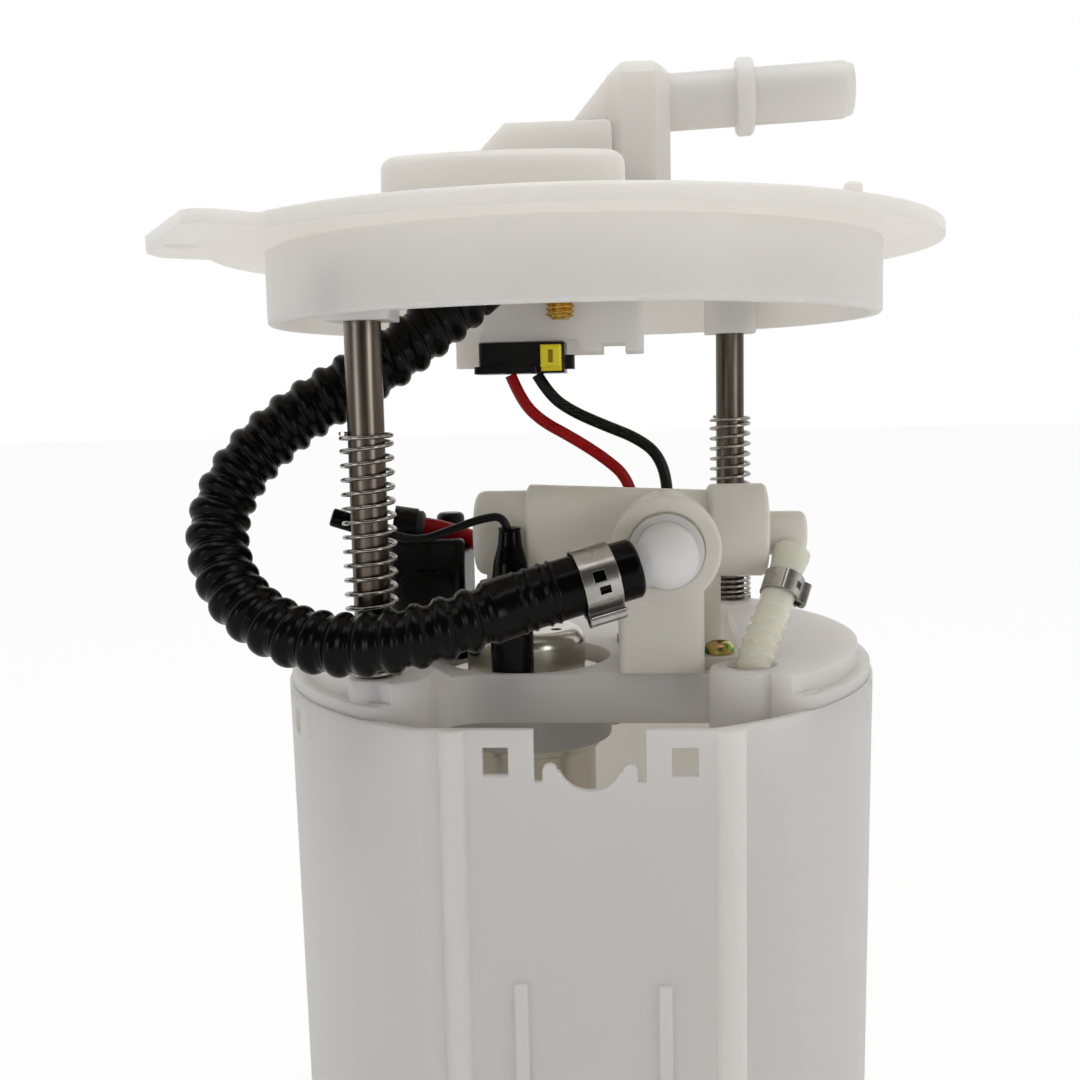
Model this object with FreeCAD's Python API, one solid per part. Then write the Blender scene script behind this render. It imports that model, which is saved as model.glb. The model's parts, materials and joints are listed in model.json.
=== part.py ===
import FreeCAD, Part
import math
import os

from FreeCAD import Vector

os.makedirs("parts", exist_ok=True)

# Fuel pump module. Millimetres, +Z up. The origin is the middle of the reservoir's foot circle.
# The flat front panel of the reservoir faces -Y.

# Heights
RESERVOIR_HEIGHT = 128.0
FLANGE_LIFT = 75.6
SKIRT_HEIGHT = 14.6
DISC_THICKNESS = 3.2

# Reservoir
RESERVOIR_TOP_RADIUS = 64.2
RESERVOIR_BASE_RADIUS = 63.0
RESERVOIR_WALL = 1.8
FLOOR_THICKNESS = 2.5
FOOT_HEIGHT = 3.0
FOOT_WIDTH = 6.0
FOOT_SWEEP = 50.0
FOOT_PAD_RADIUS = 8.0
PANEL_FACE_Y = -58.2
PANEL_CENTRE_X = 4.5
PANEL_HALF_WIDTH = 25.2
PILASTER_RADIUS = 3.0
NOTCH_RADIUS = 6.0
POST_WIDTH = 2.6
POST_DROP = 5.4
POST_TOP_DROP = 6.4
SLOT_WIDTH = 1.6
SLOT_DROP = 9.7
WINDOW_WIDTH = 4.8
WINDOW_HEIGHT = 5.4
WINDOW_OFFSET = 17.2
WINDOW_DROP = 5.9
SIDE_WINDOWS = [(207.0, 215.0), (347.0, 340.0)]
SIDE_SLOT_WIDTH = 0.9
SIDE_SLOT_DROP = 7.5
PANEL_RIB_OFFSET = 13.3
PANEL_RIB_WIDTH = 2.4
PANEL_RIB_TOP = 80.0
PANEL_RIB_PROUD = 0.9
INLET_X = 12.0
INLET_Y = 27.0
INLET_RADIUS = 7.0

# Reservoir cover
COVER_THICKNESS = 4.1
COVER_RADIUS = 63.6
COVER_LIP_HEIGHT = 2.6
COVER_PLATE_RADIUS = 61.0
COVER_RING_DEPTH = 4.0
COVER_RING_WALL = 1.6
COVER_RING_GAP = 0.2
BEAM_Y = -31.0
BEAM_DEPTH = 10.0
BEAM_WALL = 2.4
WINDOW_LEFT_X = -26.5
WINDOW_RIGHT_X = 38.6
WINDOW_CORNER = 9.0
WINDOW_LEFT_ROUND = 8.0
WINDOW_RIGHT_ROUND = 5.0
LEFT_FIELD_X = 43.0
LEFT_FIELD_HEIGHT = 3.0
LEFT_FIELD_SLOPE = 2.5
RIGHT_FIELD_X = 35.3
RIGHT_FIELD_HEIGHT = 2.4
RIGHT_FIELD_SLOPE = 0.4
BOSS_ROUND = 1.2
PUMP_HOLE_X = -10.9
PUMP_HOLE_Y = -11.5
PUMP_HOLE_RADIUS = 18.2
RETURN_HOLE_X = 34.3
RETURN_HOLE_Y = -34.6
RETURN_BOSS_RADIUS = 7.0

# Guide rods and springs
ROD_RADIUS = 3.5
ROD_WALL_GAP = 0.4
ROD_ANGLE = 49.9
ROD_FIT = 0.1
ROD_BOSS_WIDTH = 12.3
ROD_BOSS_DROP = 1.1
ROD_SOCKET_DEPTH = 12.0
ROD_LENGTH = 112.0
GUIDE_WALL = 0.6
GUIDE_LENGTH = 18.0
ROD_PAD_RADIUS = 12.5
ROD_PAD_SLOPE = 4.5
SPRING_SEAT_RADIUS = 5.4
RING_THICKNESS = 1.2
RING_RADIUS = 3.95
SPRING_RADIUS = 5.2
SPRING_WIRE = 0.75
SPRING_LENGTH = 47.0

# Flange
DISC_RADIUS = 77.5
SKIRT_RADIUS = 65.5
SKIRT_WALL = 2.4
LUG_THICKNESS = 2.4
PLATEAU_RADIUS = 75.0
PLATEAU_FRONT_Y = -41.0
PLATEAU_HEIGHT = 12.4
PLATEAU_LEFT_X = -34.8
PLATEAU_RIGHT_X = 12.0
PLATEAU_BACK_Y = 14.0
SOCKET_LEFT_X = -19.0
SOCKET_RIGHT_X = 9.2
SOCKET_FRONT_Y = -11.0
SOCKET_BACK_Y = 10.0
SOCKET_HEIGHT = 23.0
SOCKET_CHAMFER = 6.0
POCKET_LEFT_X = -16.5
POCKET_RIGHT_X = -5.5
POCKET_FRONT_Y = -6.0
POCKET_BACK_Y = 7.0
POCKET_DEPTH = 14.0
BRACKET_LEFT_X = -20.0
BRACKET_RIGHT_X = 15.4
BRACKET_FRONT_Y = -5.0
BRACKET_BACK_Y = 15.0
BRACKET_WALL = 1.8
BRACKET_BOTTOM = -6.5
PIP_RADIUS = 1.65
PIP_HEIGHT = 1.7

# Outlet elbow on the flange
COLUMN_X = 14.8
COLUMN_Y = 0.0
COLUMN_WIDTH = 13.2
COLUMN_DEPTH = 18.0
COLUMN_HEIGHT = 35.6
COLUMN_CHAMFER = 3.0
PIPE_RADIUS = 5.9
PIPE_BORE = 4.2
PIPE_LENGTH = 45.0
PIPE_HEIGHT = 28.2
PIPE_RISE = 2.0
BEAD_RADIUS = 7.95
BEAD_WIDTH = 3.6
BEAD_FROM_TIP = 22.6
NIPPLE_RADIUS = 4.3
NIPPLE_ROOT = 13.0
BARB_HEIGHT = 0.2
CHANNEL_RADIUS = 2.8
CHANNEL_HEIGHT = 5.2

# Inner plug
PLUG_LEFT_X = -21.6
PLUG_RIGHT_X = -1.8
PLUG_FRONT_Y = -4.5
PLUG_BACK_Y = 7.5
PLUG_HEIGHT = 6.9
PLUG_GAP = 0.2
LOCK_WIDTH = 4.4
LOCK_LIFT = 1.3
STUD_RADIUS = 2.9
STUD_X = -2.3
STUD_Y = -8.5

# Valve housing
HOUSING_Y = -14.0
HOUSING_LIFT = 27.1
HOUSING_LEFT_X = -20.6
HOUSING_STEP_X = -9.6
HOUSING_RING_X = 28.1
HOUSING_RIGHT_X = 40.4
HOUSING_LEFT_RADIUS = 8.9
HOUSING_WIDE_RADIUS = 10.2
HOUSING_NARROW_RADIUS = 8.5
HOUSING_RING_RADIUS = 9.7
HOUSING_FILLET = 2.0
VALVE_BORE = 5.6
SEAT_BORE = 3.2
SEAT_X = -6.0
REGULATOR_BORE = 8.0
PORT_X = 19.2
PORT_DROP = 2.2
PORT_FACE_Y = -31.0
PORT_RADIUS = 11.0
PORT_RECESS_RADIUS = 7.8
PORT_RECESS_DEPTH = 1.5
SHOULDER_RADIUS = 7.4
SHOULDER_LENGTH = 3.0
SHOULDER_PROUD = 2.4
PEDESTAL_LEFT_X = 9.5
PEDESTAL_RIGHT_X = 26.7
PEDESTAL_BACK_Y = -8.0
SPIGOT_X = -14.5
SPIGOT_RADIUS = 4.2
SPIGOT_BORE = 2.6
SPIGOT_DROP = 3.0
NOZZLE_GAP = 1.4
COUPLER_GAP = 0.2
COUPLER_LIFT = 1.6
SCREW_X = 30.1
SCREW_Y = -21.8
SCREW_RADIUS = 1.7
SCREW_HEAD_RADIUS = 3.0
LUG_HEIGHT = 2.4

# Feed elbow and feed hose
ELBOW_Y = -42.0
ELBOW_RADIUS = 6.0
ELBOW_BORE = 2.8
ELBOW_FIT = 0.05
ELBOW_NIPPLE = 24.0
HOSE_RADIUS = 6.05
HOSE_BORE = 4.6
HOSE_ROUTE = [
    (-16.9, -19.6, 211.4), (-32.4, -28.5, 197.4), (-44.2, -31.3, 190.4), (-56.2, -33.8, 183.2),
    (-65.4, -37.4, 173.6), (-68.3, -43.0, 162.4), (-62.9, -49.9, 151.6), (-51.6, -54.9, 144.9),
    (-39.0, -57.6, 143.3), (-27.2, -57.3, 144.8), (-16.9, -53.8, 147.4), (-9.4, -49.6, 149.8),
]
HOSE_END_GAP = 6.3
CLAMP_GAP = 0.05
CLAMP_THICKNESS = 0.6
CLAMP_WIDTH = 7.0
CLAMP_FROM_ELBOW = 11.0

# Regulator, return nipple and return hose
CAP_RADIUS = 4.6
CAP_RIGHT_X = 48.6
CAP_BORE_END_X = 47.0
RETURN_NECK_X = 44.9
RETURN_NIPPLE_LENGTH = 10.5
RETURN_NIPPLE_RADIUS = 2.4
RETURN_HOSE_RADIUS = 3.5
RETURN_HOSE_BORE = 2.5
RETURN_CLAMP_FROM_END = 6.0
RETURN_ROUTE = [
    (44.4, -20.8, 153.2), (40.9, -26.8, 145.0), (35.8, -32.8, 134.5), (34.6, -34.7, 122.0),
    (34.0, -35.2, 108.0), (33.4, -36.0, 90.0), (33.0, -36.6, 58.0), (33.0, -36.5, 21.0),
]

# Pump
PUMP_X = -11.3
PUMP_Y = -7.0
PUMP_RADIUS = 15.0
PUMP_SHELL = 0.8
PUMP_LENGTH = 87.0
PUMP_SINK = 1.0
DOME_RADIUS = 13.0
DOME_HEIGHT = 10.6
DOME_SHOULDER = 3.0
NOZZLE_RADIUS = 3.4
ARMATURE_RADIUS = 9.0
ARMATURE_LENGTH = 42.0
SHAFT_RADIUS = 1.6
SHAFT_FIT = 0.05
IMPELLER_RADIUS = 13.0
IMPELLER_THICKNESS = 4.0
MAGNET_THICKNESS = 3.6
RING_DROP = 7.0
RING_OUTER = 18.6

# Terminal boot, lead connector and wires
BOOT_X = -12.5
BOOT_Y = -24.8
BOOT_RADIUS = 4.4
BOOT_NECK_RADIUS = 2.2
BOOT_HEIGHT = 36.3
BOOT_DROP = 1.9
POST_RADIUS = 1.6
CONNECTOR_LEFT_X = -40.0
CONNECTOR_RIGHT_X = -23.4
CONNECTOR_FRONT_Y = -16.0
CONNECTOR_BACK_Y = 3.0
CONNECTOR_HEIGHT = 25.9
KNOB_RADIUS = 3.1
KNOB_HEIGHT = 4.4
GLAND_X = 15.0
GLAND_Y = 4.0
GLAND_RADIUS = 6.4
WIRE_RADIUS = 1.3
EARTH_WIRE_RADIUS = 0.85
RED_LEAD_RADIUS = 2.1
RED_WIRE_ROUTE = [
    (-14.2, 1.5, 192.7), (-11.9, 1.7, 186.9), (-7.6, 2.0, 182.4), (-0.8, 2.5, 178.6), (6.2, 3.0, 174.0),
    (11.4, 3.7, 169.4), (13.4, 4.0, 161.0), (13.2, 4.3, 148.0), (13.2, 4.0, 134.4),
]
BLACK_WIRE_ROUTE = [
    (-8.3, 1.5, 192.7), (-5.6, 2.0, 188.0), (-0.7, 2.5, 184.4), (6.3, 3.0, 181.2), (13.6, 3.5, 178.2),
    (18.4, 3.9, 174.4), (20.5, 4.1, 167.6), (20.0, 4.3, 157.0), (17.4, 4.2, 146.4), (16.8, 4.0, 134.4),
]
EARTH_WIRE_ROUTE = [
    (BOOT_X, BOOT_Y, 158.4), (-12.9, -25.0, 164.0), (-18.6, -26.0, 163.3), (-24.4, -27.5, 161.2),
    (-30.3, -29.2, 159.3), (-35.8, -31.0, 160.9), (-41.6, -32.6, 163.0),
]
RED_LEAD_ROUTE = [
    (-36.4, -9.6, 160.8), (-30.4, -8.8, 159.8), (-25.2, -4.8, 157.6), (-19.4, -0.4, 154.8), (-11.6, 2.8, 151.4),
    (-3.0, 5.8, 148.8), (6.2, 8.2, 146.4), (14.6, 7.8, 142.6), (14.8, 7.6, 134.48),
]

# Heights worked out from the ones above
COVER_TOP = RESERVOIR_HEIGHT + COVER_THICKNESS
SKIRT_BOTTOM = RESERVOIR_HEIGHT + FLANGE_LIFT
DISC_BOTTOM = SKIRT_BOTTOM + SKIRT_HEIGHT
DISC_TOP = DISC_BOTTOM + DISC_THICKNESS
LIP_TOP = RESERVOIR_HEIGHT + COVER_LIP_HEIGHT
SPRING_SEAT = COVER_TOP + LEFT_FIELD_HEIGHT
ROD_CIRCLE_RADIUS = RESERVOIR_TOP_RADIUS - RESERVOIR_WALL - ROD_WALL_GAP - ROD_RADIUS - ROD_FIT - GUIDE_WALL
HOUSING_Z = COVER_TOP + HOUSING_LIFT
PORT_Z = HOUSING_Z - PORT_DROP
PUMP_TOP = RESERVOIR_HEIGHT - PUMP_SINK
PUMP_BOTTOM = PUMP_TOP - PUMP_LENGTH
DOME_TOP = PUMP_TOP + DOME_HEIGHT
SPIGOT_BOTTOM = HOUSING_Z - HOUSING_WIDE_RADIUS - SPIGOT_DROP
NOZZLE_TOP = SPIGOT_BOTTOM - NOZZLE_GAP
COUPLER_TOP = HOUSING_Z - HOUSING_WIDE_RADIUS - COUPLER_GAP
COUPLER_BOTTOM = DOME_TOP + COUPLER_LIFT
RING_TOP = RESERVOIR_HEIGHT - RING_DROP
BOOT_BASE = PUMP_TOP - BOOT_DROP
BOOT_TOP = BOOT_BASE + BOOT_HEIGHT
CONNECTOR_TOP = COVER_TOP + CONNECTOR_HEIGHT
ROD_BOSS_BOTTOM = SKIRT_BOTTOM - ROD_BOSS_DROP
ROD_TOP = ROD_BOSS_BOTTOM + ROD_SOCKET_DEPTH
ROD_BOTTOM = ROD_TOP - ROD_LENGTH
PLUG_TOP = SKIRT_BOTTOM - 3.8
PLUG_BOTTOM = PLUG_TOP - PLUG_HEIGHT

X_AXIS = Vector(1, 0, 0)
Y_AXIS = Vector(0, 1, 0)
Z_AXIS = Vector(0, 0, 1)


def save(shape, name):
    """Write one sub-part."""
    shape.exportStep("parts/" + name + ".step")


def cylinder(radius, start, direction, length):
    return Part.makeCylinder(radius, length, start, direction)


def upright(radius, x, y, bottom, top):
    return Part.makeCylinder(radius, top - bottom, Vector(x, y, bottom))


def block(x0, x1, y0, y1, z0, z1):
    return Part.makeBox(x1 - x0, y1 - y0, z1 - z0, Vector(x0, y0, z0))


def rounded_block(x0, x1, y0, y1, z0, z1, radius):
    """A block whose upright edges are rounded."""
    solid = block(x0, x1, y0, y1, z0, z1)
    edges = [edge for edge in solid.Edges if abs(edge.Vertexes[0].Z - edge.Vertexes[1].Z) > 0.9 * (z1 - z0)]
    return solid.makeFillet(radius, edges)


def turned(profile, start, direction):
    """Turn a profile of (radius, distance) points about a line through start."""
    points = [Vector(radius, 0, distance) for radius, distance in profile]
    face = Part.Face(Part.makePolygon(points + [points[0]]))
    solid = face.revolve(Vector(0, 0, 0), Z_AXIS, 360)
    solid.Placement = FreeCAD.Placement(start, FreeCAD.Rotation(Z_AXIS, direction))
    return solid


def prism(points, bottom, top):
    corners = [Vector(x, y, bottom) for x, y in points]
    face = Part.Face(Part.makePolygon(corners + [corners[0]]))
    return face.extrude(Vector(0, 0, top - bottom))


def joined(shapes):
    """One solid from overlapping ones."""
    return shapes[0].multiFuse(shapes[1:]).removeSplitter()


def group(shapes):
    return Part.makeCompound(shapes)


def rounded_path(points):
    """Straight runs joined by tangent arcs, each as large as its two runs allow."""
    corners = [Vector(*point) for point in points]
    edges = []
    radii = []
    last = corners[0]
    for before, corner, after in zip(corners, corners[1:], corners[2:]):
        inward = (before - corner).normalize()
        outward = (after - corner).normalize()
        shorter = min(before.distanceToPoint(corner), after.distanceToPoint(corner))
        half_turn = (math.pi - inward.getAngle(outward)) / 2
        cut = 0.45 * shorter
        radius = cut / math.tan(half_turn)
        start = corner + inward * cut
        finish = corner + outward * cut
        middle_way = (inward + outward).normalize()
        centre_distance = math.hypot(radius, cut)
        middle = corner + middle_way * (centre_distance - radius)
        edges.append(Part.LineSegment(last, start).toShape())
        edges.append(Part.Arc(start, middle, finish).toShape())
        radii.append(radius)
        last = finish
    edges.append(Part.LineSegment(last, corners[-1]).toShape())
    return Part.Wire(edges), radii


def swept(points, radius, bore, name):
    """A round cord or hose along a route, with its bore if it has one."""
    path, radii = rounded_path(points)
    start = Vector(*points[0])
    way = Vector(*points[1]) - start
    solids = []
    for size in [radius, bore]:
        if size > 0:
            ring = Part.Wire(Part.makeCircle(size, start, way))
            solids.append(path.makePipeShell([ring], True, False))
    solid = solids[0].cut(solids[1]) if bore > 0 else solids[0]
    expected = math.pi * (radius ** 2 - bore ** 2) * path.Length
    print(name, "length", round(path.Length, 1), "tightest", round(min(radii), 1),
          "radii", [round(value) for value in radii], "volume ratio", round(solid.Volume / expected, 4))
    return solid


def rod_place(side):
    """Where a guide rod stands: -1 is the front one, 1 the rear one."""
    angle = math.radians(ROD_ANGLE)
    return side * ROD_CIRCLE_RADIUS * math.cos(angle), side * ROD_CIRCLE_RADIUS * math.sin(angle)


# Reservoir

def reservoir_radius(z):
    share = z / RESERVOIR_HEIGHT
    return RESERVOIR_BASE_RADIUS + share * (RESERVOIR_TOP_RADIUS - RESERVOIR_BASE_RADIUS)


def make_reservoir():
    height = RESERVOIR_HEIGHT - FOOT_HEIGHT
    base_z = FOOT_HEIGHT
    reach = RESERVOIR_TOP_RADIUS + 10
    outer = Part.makeCone(reservoir_radius(base_z), RESERVOIR_TOP_RADIUS, height, Vector(0, 0, base_z))
    in_front = block(-reach, reach, -reach - 10, PANEL_FACE_Y, 0, RESERVOIR_HEIGHT + 1)
    outer = outer.cut(in_front)
    pilasters = []
    for side in [-1, 1]:
        x = PANEL_CENTRE_X + side * PANEL_HALF_WIDTH
        y = PANEL_FACE_Y + PILASTER_RADIUS - 1.3
        pilasters.append(upright(PILASTER_RADIUS, x, y, base_z, RESERVOIR_HEIGHT))
    plate = block(PANEL_CENTRE_X - PANEL_HALF_WIDTH, PANEL_CENTRE_X + PANEL_HALF_WIDTH, PANEL_FACE_Y,
                  PANEL_FACE_Y + RESERVOIR_WALL, base_z, RESERVOIR_HEIGHT)
    outer = joined([outer, plate] + pilasters)
    floor_z = base_z + FLOOR_THICKNESS
    hollow = Part.makeCone(reservoir_radius(floor_z) - RESERVOIR_WALL, RESERVOIR_TOP_RADIUS - RESERVOIR_WALL,
                           RESERVOIR_HEIGHT - floor_z, Vector(0, 0, floor_z))
    hollow = hollow.cut(block(-reach, reach, -reach - 10, PANEL_FACE_Y + RESERVOIR_WALL, 0, RESERVOIR_HEIGHT + 1))
    shell = outer.cut(hollow)
    shell = shell.cut(panel_cuts().Solids)
    shell = shell.cut(upright(INLET_RADIUS, INLET_X, INLET_Y, 0, floor_z + 1))
    pad = upright(FOOT_PAD_RADIUS, 0, 0, 0, FOOT_HEIGHT + 1)
    extras = [reservoir_foot(30), reservoir_foot(150), reservoir_foot(270), pad] + panel_ribs()
    return joined([shell] + extras)


def reservoir_foot(angle):
    """An arc-shaped foot under the wall."""
    outer = Part.makeCylinder(RESERVOIR_BASE_RADIUS - 6, FOOT_HEIGHT + 1, Vector(0, 0, 0), Z_AXIS, FOOT_SWEEP)
    inner = Part.makeCylinder(RESERVOIR_BASE_RADIUS - 6 - FOOT_WIDTH, FOOT_HEIGHT + 1, Vector(0, 0, 0))
    foot = outer.cut(inner)
    foot.rotate(Vector(0, 0, 0), Z_AXIS, angle - FOOT_SWEEP / 2)
    return foot


def panel_cuts():
    """The notch, slots and snap windows along the rim."""
    top = RESERVOIR_HEIGHT
    y0 = PANEL_FACE_Y - 3
    y1 = PANEL_FACE_Y + RESERVOIR_WALL + 1
    half = NOTCH_RADIUS + POST_WIDTH
    round_z = top - POST_TOP_DROP - POST_WIDTH / 2
    rest = block(PANEL_CENTRE_X - half, PANEL_CENTRE_X + half, y0, y1, round_z, top + 1)
    for side in [-1, 1]:
        post = PANEL_CENTRE_X + side * (NOTCH_RADIUS + POST_WIDTH / 2)
        rest = rest.cut(cylinder(POST_WIDTH / 2, Vector(post, y0, round_z), Y_AXIS, y1 - y0))
    cuts = [rest, cylinder(NOTCH_RADIUS, Vector(PANEL_CENTRE_X, y0, top - POST_DROP), Y_AXIS, y1 - y0)]
    window_top = top - WINDOW_DROP + WINDOW_HEIGHT / 2
    for side in [-1, 1]:
        slot = PANEL_CENTRE_X + side * (half + SLOT_WIDTH / 2)
        window = PANEL_CENTRE_X + side * WINDOW_OFFSET
        cuts.append(block(slot - SLOT_WIDTH / 2, slot + SLOT_WIDTH / 2, y0, y1, top - SLOT_DROP, top + 1))
        cuts.append(block(window - WINDOW_WIDTH / 2, window + WINDOW_WIDTH / 2, y0, y1,
                          window_top - WINDOW_HEIGHT, window_top))
    for window_angle, slot_angle in SIDE_WINDOWS:
        cuts.append(wall_cut(window_angle, WINDOW_WIDTH, window_top - WINDOW_HEIGHT, window_top))
        cuts.append(wall_cut(slot_angle, SIDE_SLOT_WIDTH, top - SIDE_SLOT_DROP, top + 1))
    return group(cuts)


def wall_cut(angle, width, bottom, top):
    """A block through the round wall at an angle about the middle."""
    wall_x = RESERVOIR_TOP_RADIUS - RESERVOIR_WALL / 2
    solid = block(wall_x - 3, wall_x + 3, -width / 2, width / 2, bottom, top)
    solid.rotate(Vector(0, 0, 0), Z_AXIS, angle)
    return solid


def panel_ribs():
    ribs = []
    for side in [-1, 1]:
        x = PANEL_CENTRE_X + side * PANEL_RIB_OFFSET
        ribs.append(block(x - PANEL_RIB_WIDTH / 2, x + PANEL_RIB_WIDTH / 2, PANEL_FACE_Y - PANEL_RIB_PROUD,
                          PANEL_FACE_Y + RESERVOIR_WALL, FOOT_HEIGHT, PANEL_RIB_TOP))
    return ribs


# Reservoir cover

def window_outline():
    """The opening at the front of the cover, with a round left corner and the return hose's boss left in."""
    far = COVER_RADIUS + 5
    solid = block(WINDOW_LEFT_X, WINDOW_RIGHT_X, -far, BEAM_Y, 0, 1)
    corner = [edge for edge in solid.Edges
              if edge.BoundBox.ZLength > 0.9 and edge.BoundBox.XMin < WINDOW_LEFT_X + 1
              and edge.BoundBox.YMin > BEAM_Y - 1]
    solid = solid.makeFillet(WINDOW_CORNER, corner)
    solid = joined([solid, rim_corner(WINDOW_LEFT_X, -1, WINDOW_LEFT_ROUND),
                    rim_corner(WINDOW_RIGHT_X, 1, WINDOW_RIGHT_ROUND)])
    solid = solid.cut(upright(RETURN_BOSS_RADIUS, RETURN_HOLE_X, RETURN_HOLE_Y, 0, 1))
    solid = solid.cut(block(RETURN_HOLE_X, far, RETURN_HOLE_Y, BEAM_Y, 0, 1))
    solid = solid.common(upright(far, 0, 0, 0, 1))
    flat = [face for face in solid.Faces if face.BoundBox.ZMax < 0.01]
    return max(flat, key=lambda face: face.Area)


def rim_corner(x, side, radius):
    """What is cut away to round the corner between the opening's side and the cover's rim."""
    reach = COVER_RADIUS - radius
    centre_x = x + side * radius
    centre_y = -math.sqrt(reach ** 2 - centre_x ** 2)
    far = 1.5 * COVER_RADIUS / reach
    points = [(centre_x, centre_y), (x - side * 0.5, centre_y), (x - side * 0.5, far * centre_y),
              (far * centre_x, far * centre_y)]
    return prism(points, 0, 1).cut(upright(radius, centre_x, centre_y, -1, 2))


def opening_prism(face, grow, bottom, top):
    outline = face.makeOffset2D(grow) if grow > 0 else face
    solid = outline.extrude(Vector(0, 0, top - bottom))
    solid.translate(Vector(0, 0, bottom))
    return solid


def make_cover():
    bottom = RESERVOIR_HEIGHT
    lip = upright(COVER_RADIUS, 0, 0, bottom, LIP_TOP)
    plate = upright(COVER_PLATE_RADIUS, 0, 0, bottom, COVER_TOP)
    ring_radius = RESERVOIR_TOP_RADIUS - RESERVOIR_WALL - COVER_RING_GAP
    ring = upright(ring_radius, 0, 0, bottom - COVER_RING_DEPTH, bottom + 1)
    ring = ring.cut(upright(ring_radius - COVER_RING_WALL, 0, 0, bottom - COVER_RING_DEPTH, bottom + 1))
    opening = window_outline()
    beam_bottom = COVER_TOP - BEAM_DEPTH
    beam = opening_prism(opening, BEAM_WALL, beam_bottom, COVER_TOP - 1)
    beam = beam.common(upright(ring_radius, 0, 0, beam_bottom, COVER_TOP - 1))
    boss_top = COVER_TOP + RIGHT_FIELD_HEIGHT
    boss = upright(RETURN_BOSS_RADIUS, RETURN_HOLE_X, RETURN_HOLE_Y, bottom, boss_top)
    boss = boss.makeFillet(BOSS_ROUND, [edge for edge in boss.Edges if edge.BoundBox.ZMin > boss_top - 0.1])
    fields = [raised_field(-1, LEFT_FIELD_X, LEFT_FIELD_HEIGHT, LEFT_FIELD_SLOPE),
              raised_field(1, RIGHT_FIELD_X, RIGHT_FIELD_HEIGHT, RIGHT_FIELD_SLOPE)]
    sides = [rod_guide(side) for side in [-1, 1]] + fields
    cover = joined([lip, plate, ring, beam, boss] + sides)
    cover = cover.cut(opening_prism(opening, 0, beam_bottom - 5, SPRING_SEAT + 5))
    above = Vector(*RETURN_ROUTE[1])
    below = Vector(*RETURN_ROUTE[2])
    under = Vector(*RETURN_ROUTE[3])
    holes = [upright(PUMP_HOLE_RADIUS, PUMP_HOLE_X, PUMP_HOLE_Y, beam_bottom - 1, COVER_TOP + 1),
             cylinder(RETURN_HOSE_RADIUS + 1.1, above, below - above, above.distanceToPoint(below) + 4),
             cylinder(RETURN_HOSE_RADIUS + 1.1, below, under - below, under.distanceToPoint(below)),
             upright(GLAND_RADIUS - 1, GLAND_X, GLAND_Y, bottom - 1, COVER_TOP + 1),
             upright(SCREW_RADIUS, SCREW_X, SCREW_Y, bottom - 1, COVER_TOP + 1)]
    for side in [-1, 1]:
        x, y = rod_place(side)
        holes.append(upright(ROD_RADIUS + ROD_FIT, x, y, 0, RESERVOIR_HEIGHT + 30))
    return cover.cut(holes)


def rod_guide(side):
    """A sloping pad and a round seat under the spring, and a guide tube below the cover."""
    x, y = rod_place(side)
    pad = Part.makeCone(ROD_PAD_RADIUS + ROD_PAD_SLOPE, ROD_PAD_RADIUS, LEFT_FIELD_HEIGHT, Vector(x, y, COVER_TOP))
    pad = pad.common(upright(COVER_PLATE_RADIUS, 0, 0, COVER_TOP, SPRING_SEAT))
    seat = upright(SPRING_SEAT_RADIUS, x, y, LIP_TOP - 1, SPRING_SEAT)
    tube = upright(ROD_RADIUS + ROD_FIT + GUIDE_WALL, x, y, COVER_TOP - GUIDE_LENGTH - COVER_THICKNESS, COVER_TOP)
    return pad.multiFuse([seat, tube])


def raised_field(side, inner_x, height, slope):
    """The higher part of the cover at one side, with a sloping inner edge; the right one starts behind the beam."""
    reach = COVER_RADIUS + 5
    top = COVER_TOP + height
    points = [(inner_x, COVER_TOP - 1), (inner_x, COVER_TOP), (inner_x + slope, top), (reach, top),
              (reach, COVER_TOP - 1)]
    corners = [Vector(side * x, -reach, z) for x, z in points]
    solid = Part.Face(Part.makePolygon(corners + [corners[0]])).extrude(Vector(0, 2 * reach, 0))
    return solid.common(upright(COVER_PLATE_RADIUS, 0, 0, COVER_TOP - 1, top))


# Flange

def make_flange():
    disc = upright(DISC_RADIUS, 0, 0, DISC_BOTTOM, DISC_TOP)
    rim = [edge for edge in disc.Edges if edge.BoundBox.ZMin > DISC_TOP - 0.1]
    disc = disc.makeFillet(1.2, rim)
    skirt = upright(SKIRT_RADIUS, 0, 0, SKIRT_BOTTOM, DISC_BOTTOM + 1)
    rim = [edge for edge in skirt.Edges if edge.BoundBox.ZMax < SKIRT_BOTTOM + 0.1]
    skirt = skirt.makeFillet(0.8, rim)
    skirt = skirt.cut(upright(SKIRT_RADIUS - SKIRT_WALL, 0, 0, SKIRT_BOTTOM, DISC_BOTTOM))
    nipple = turned(barb_profile(NIPPLE_ROOT + 14.0), nipple_start(), hose_top_way())
    shapes = [disc, skirt, flange_lug(), plateau(), terminal_socket(), inner_bracket(), rim_pip(), nipple]
    shapes = shapes + [rod_boss(side) for side in [-1, 1]]
    flange = joined(shapes)
    cuts = [block(POCKET_LEFT_X, POCKET_RIGHT_X, POCKET_FRONT_Y, POCKET_BACK_Y,
                  DISC_TOP + SOCKET_HEIGHT - POCKET_DEPTH, DISC_TOP + SOCKET_HEIGHT + 1),
            upright(STUD_RADIUS - 0.1, STUD_X, STUD_Y, DISC_BOTTOM - 1, DISC_BOTTOM + 2.5)]
    for x in terminal_places():
        cuts.append(terminal_blade(x, 0.0))
    cuts = cuts + fuel_channel()
    for side in [-1, 1]:
        x, y = rod_place(side)
        cuts.append(upright(ROD_RADIUS, x, y, ROD_BOSS_BOTTOM - 1, ROD_TOP))
    return flange.cut(cuts)


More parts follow.
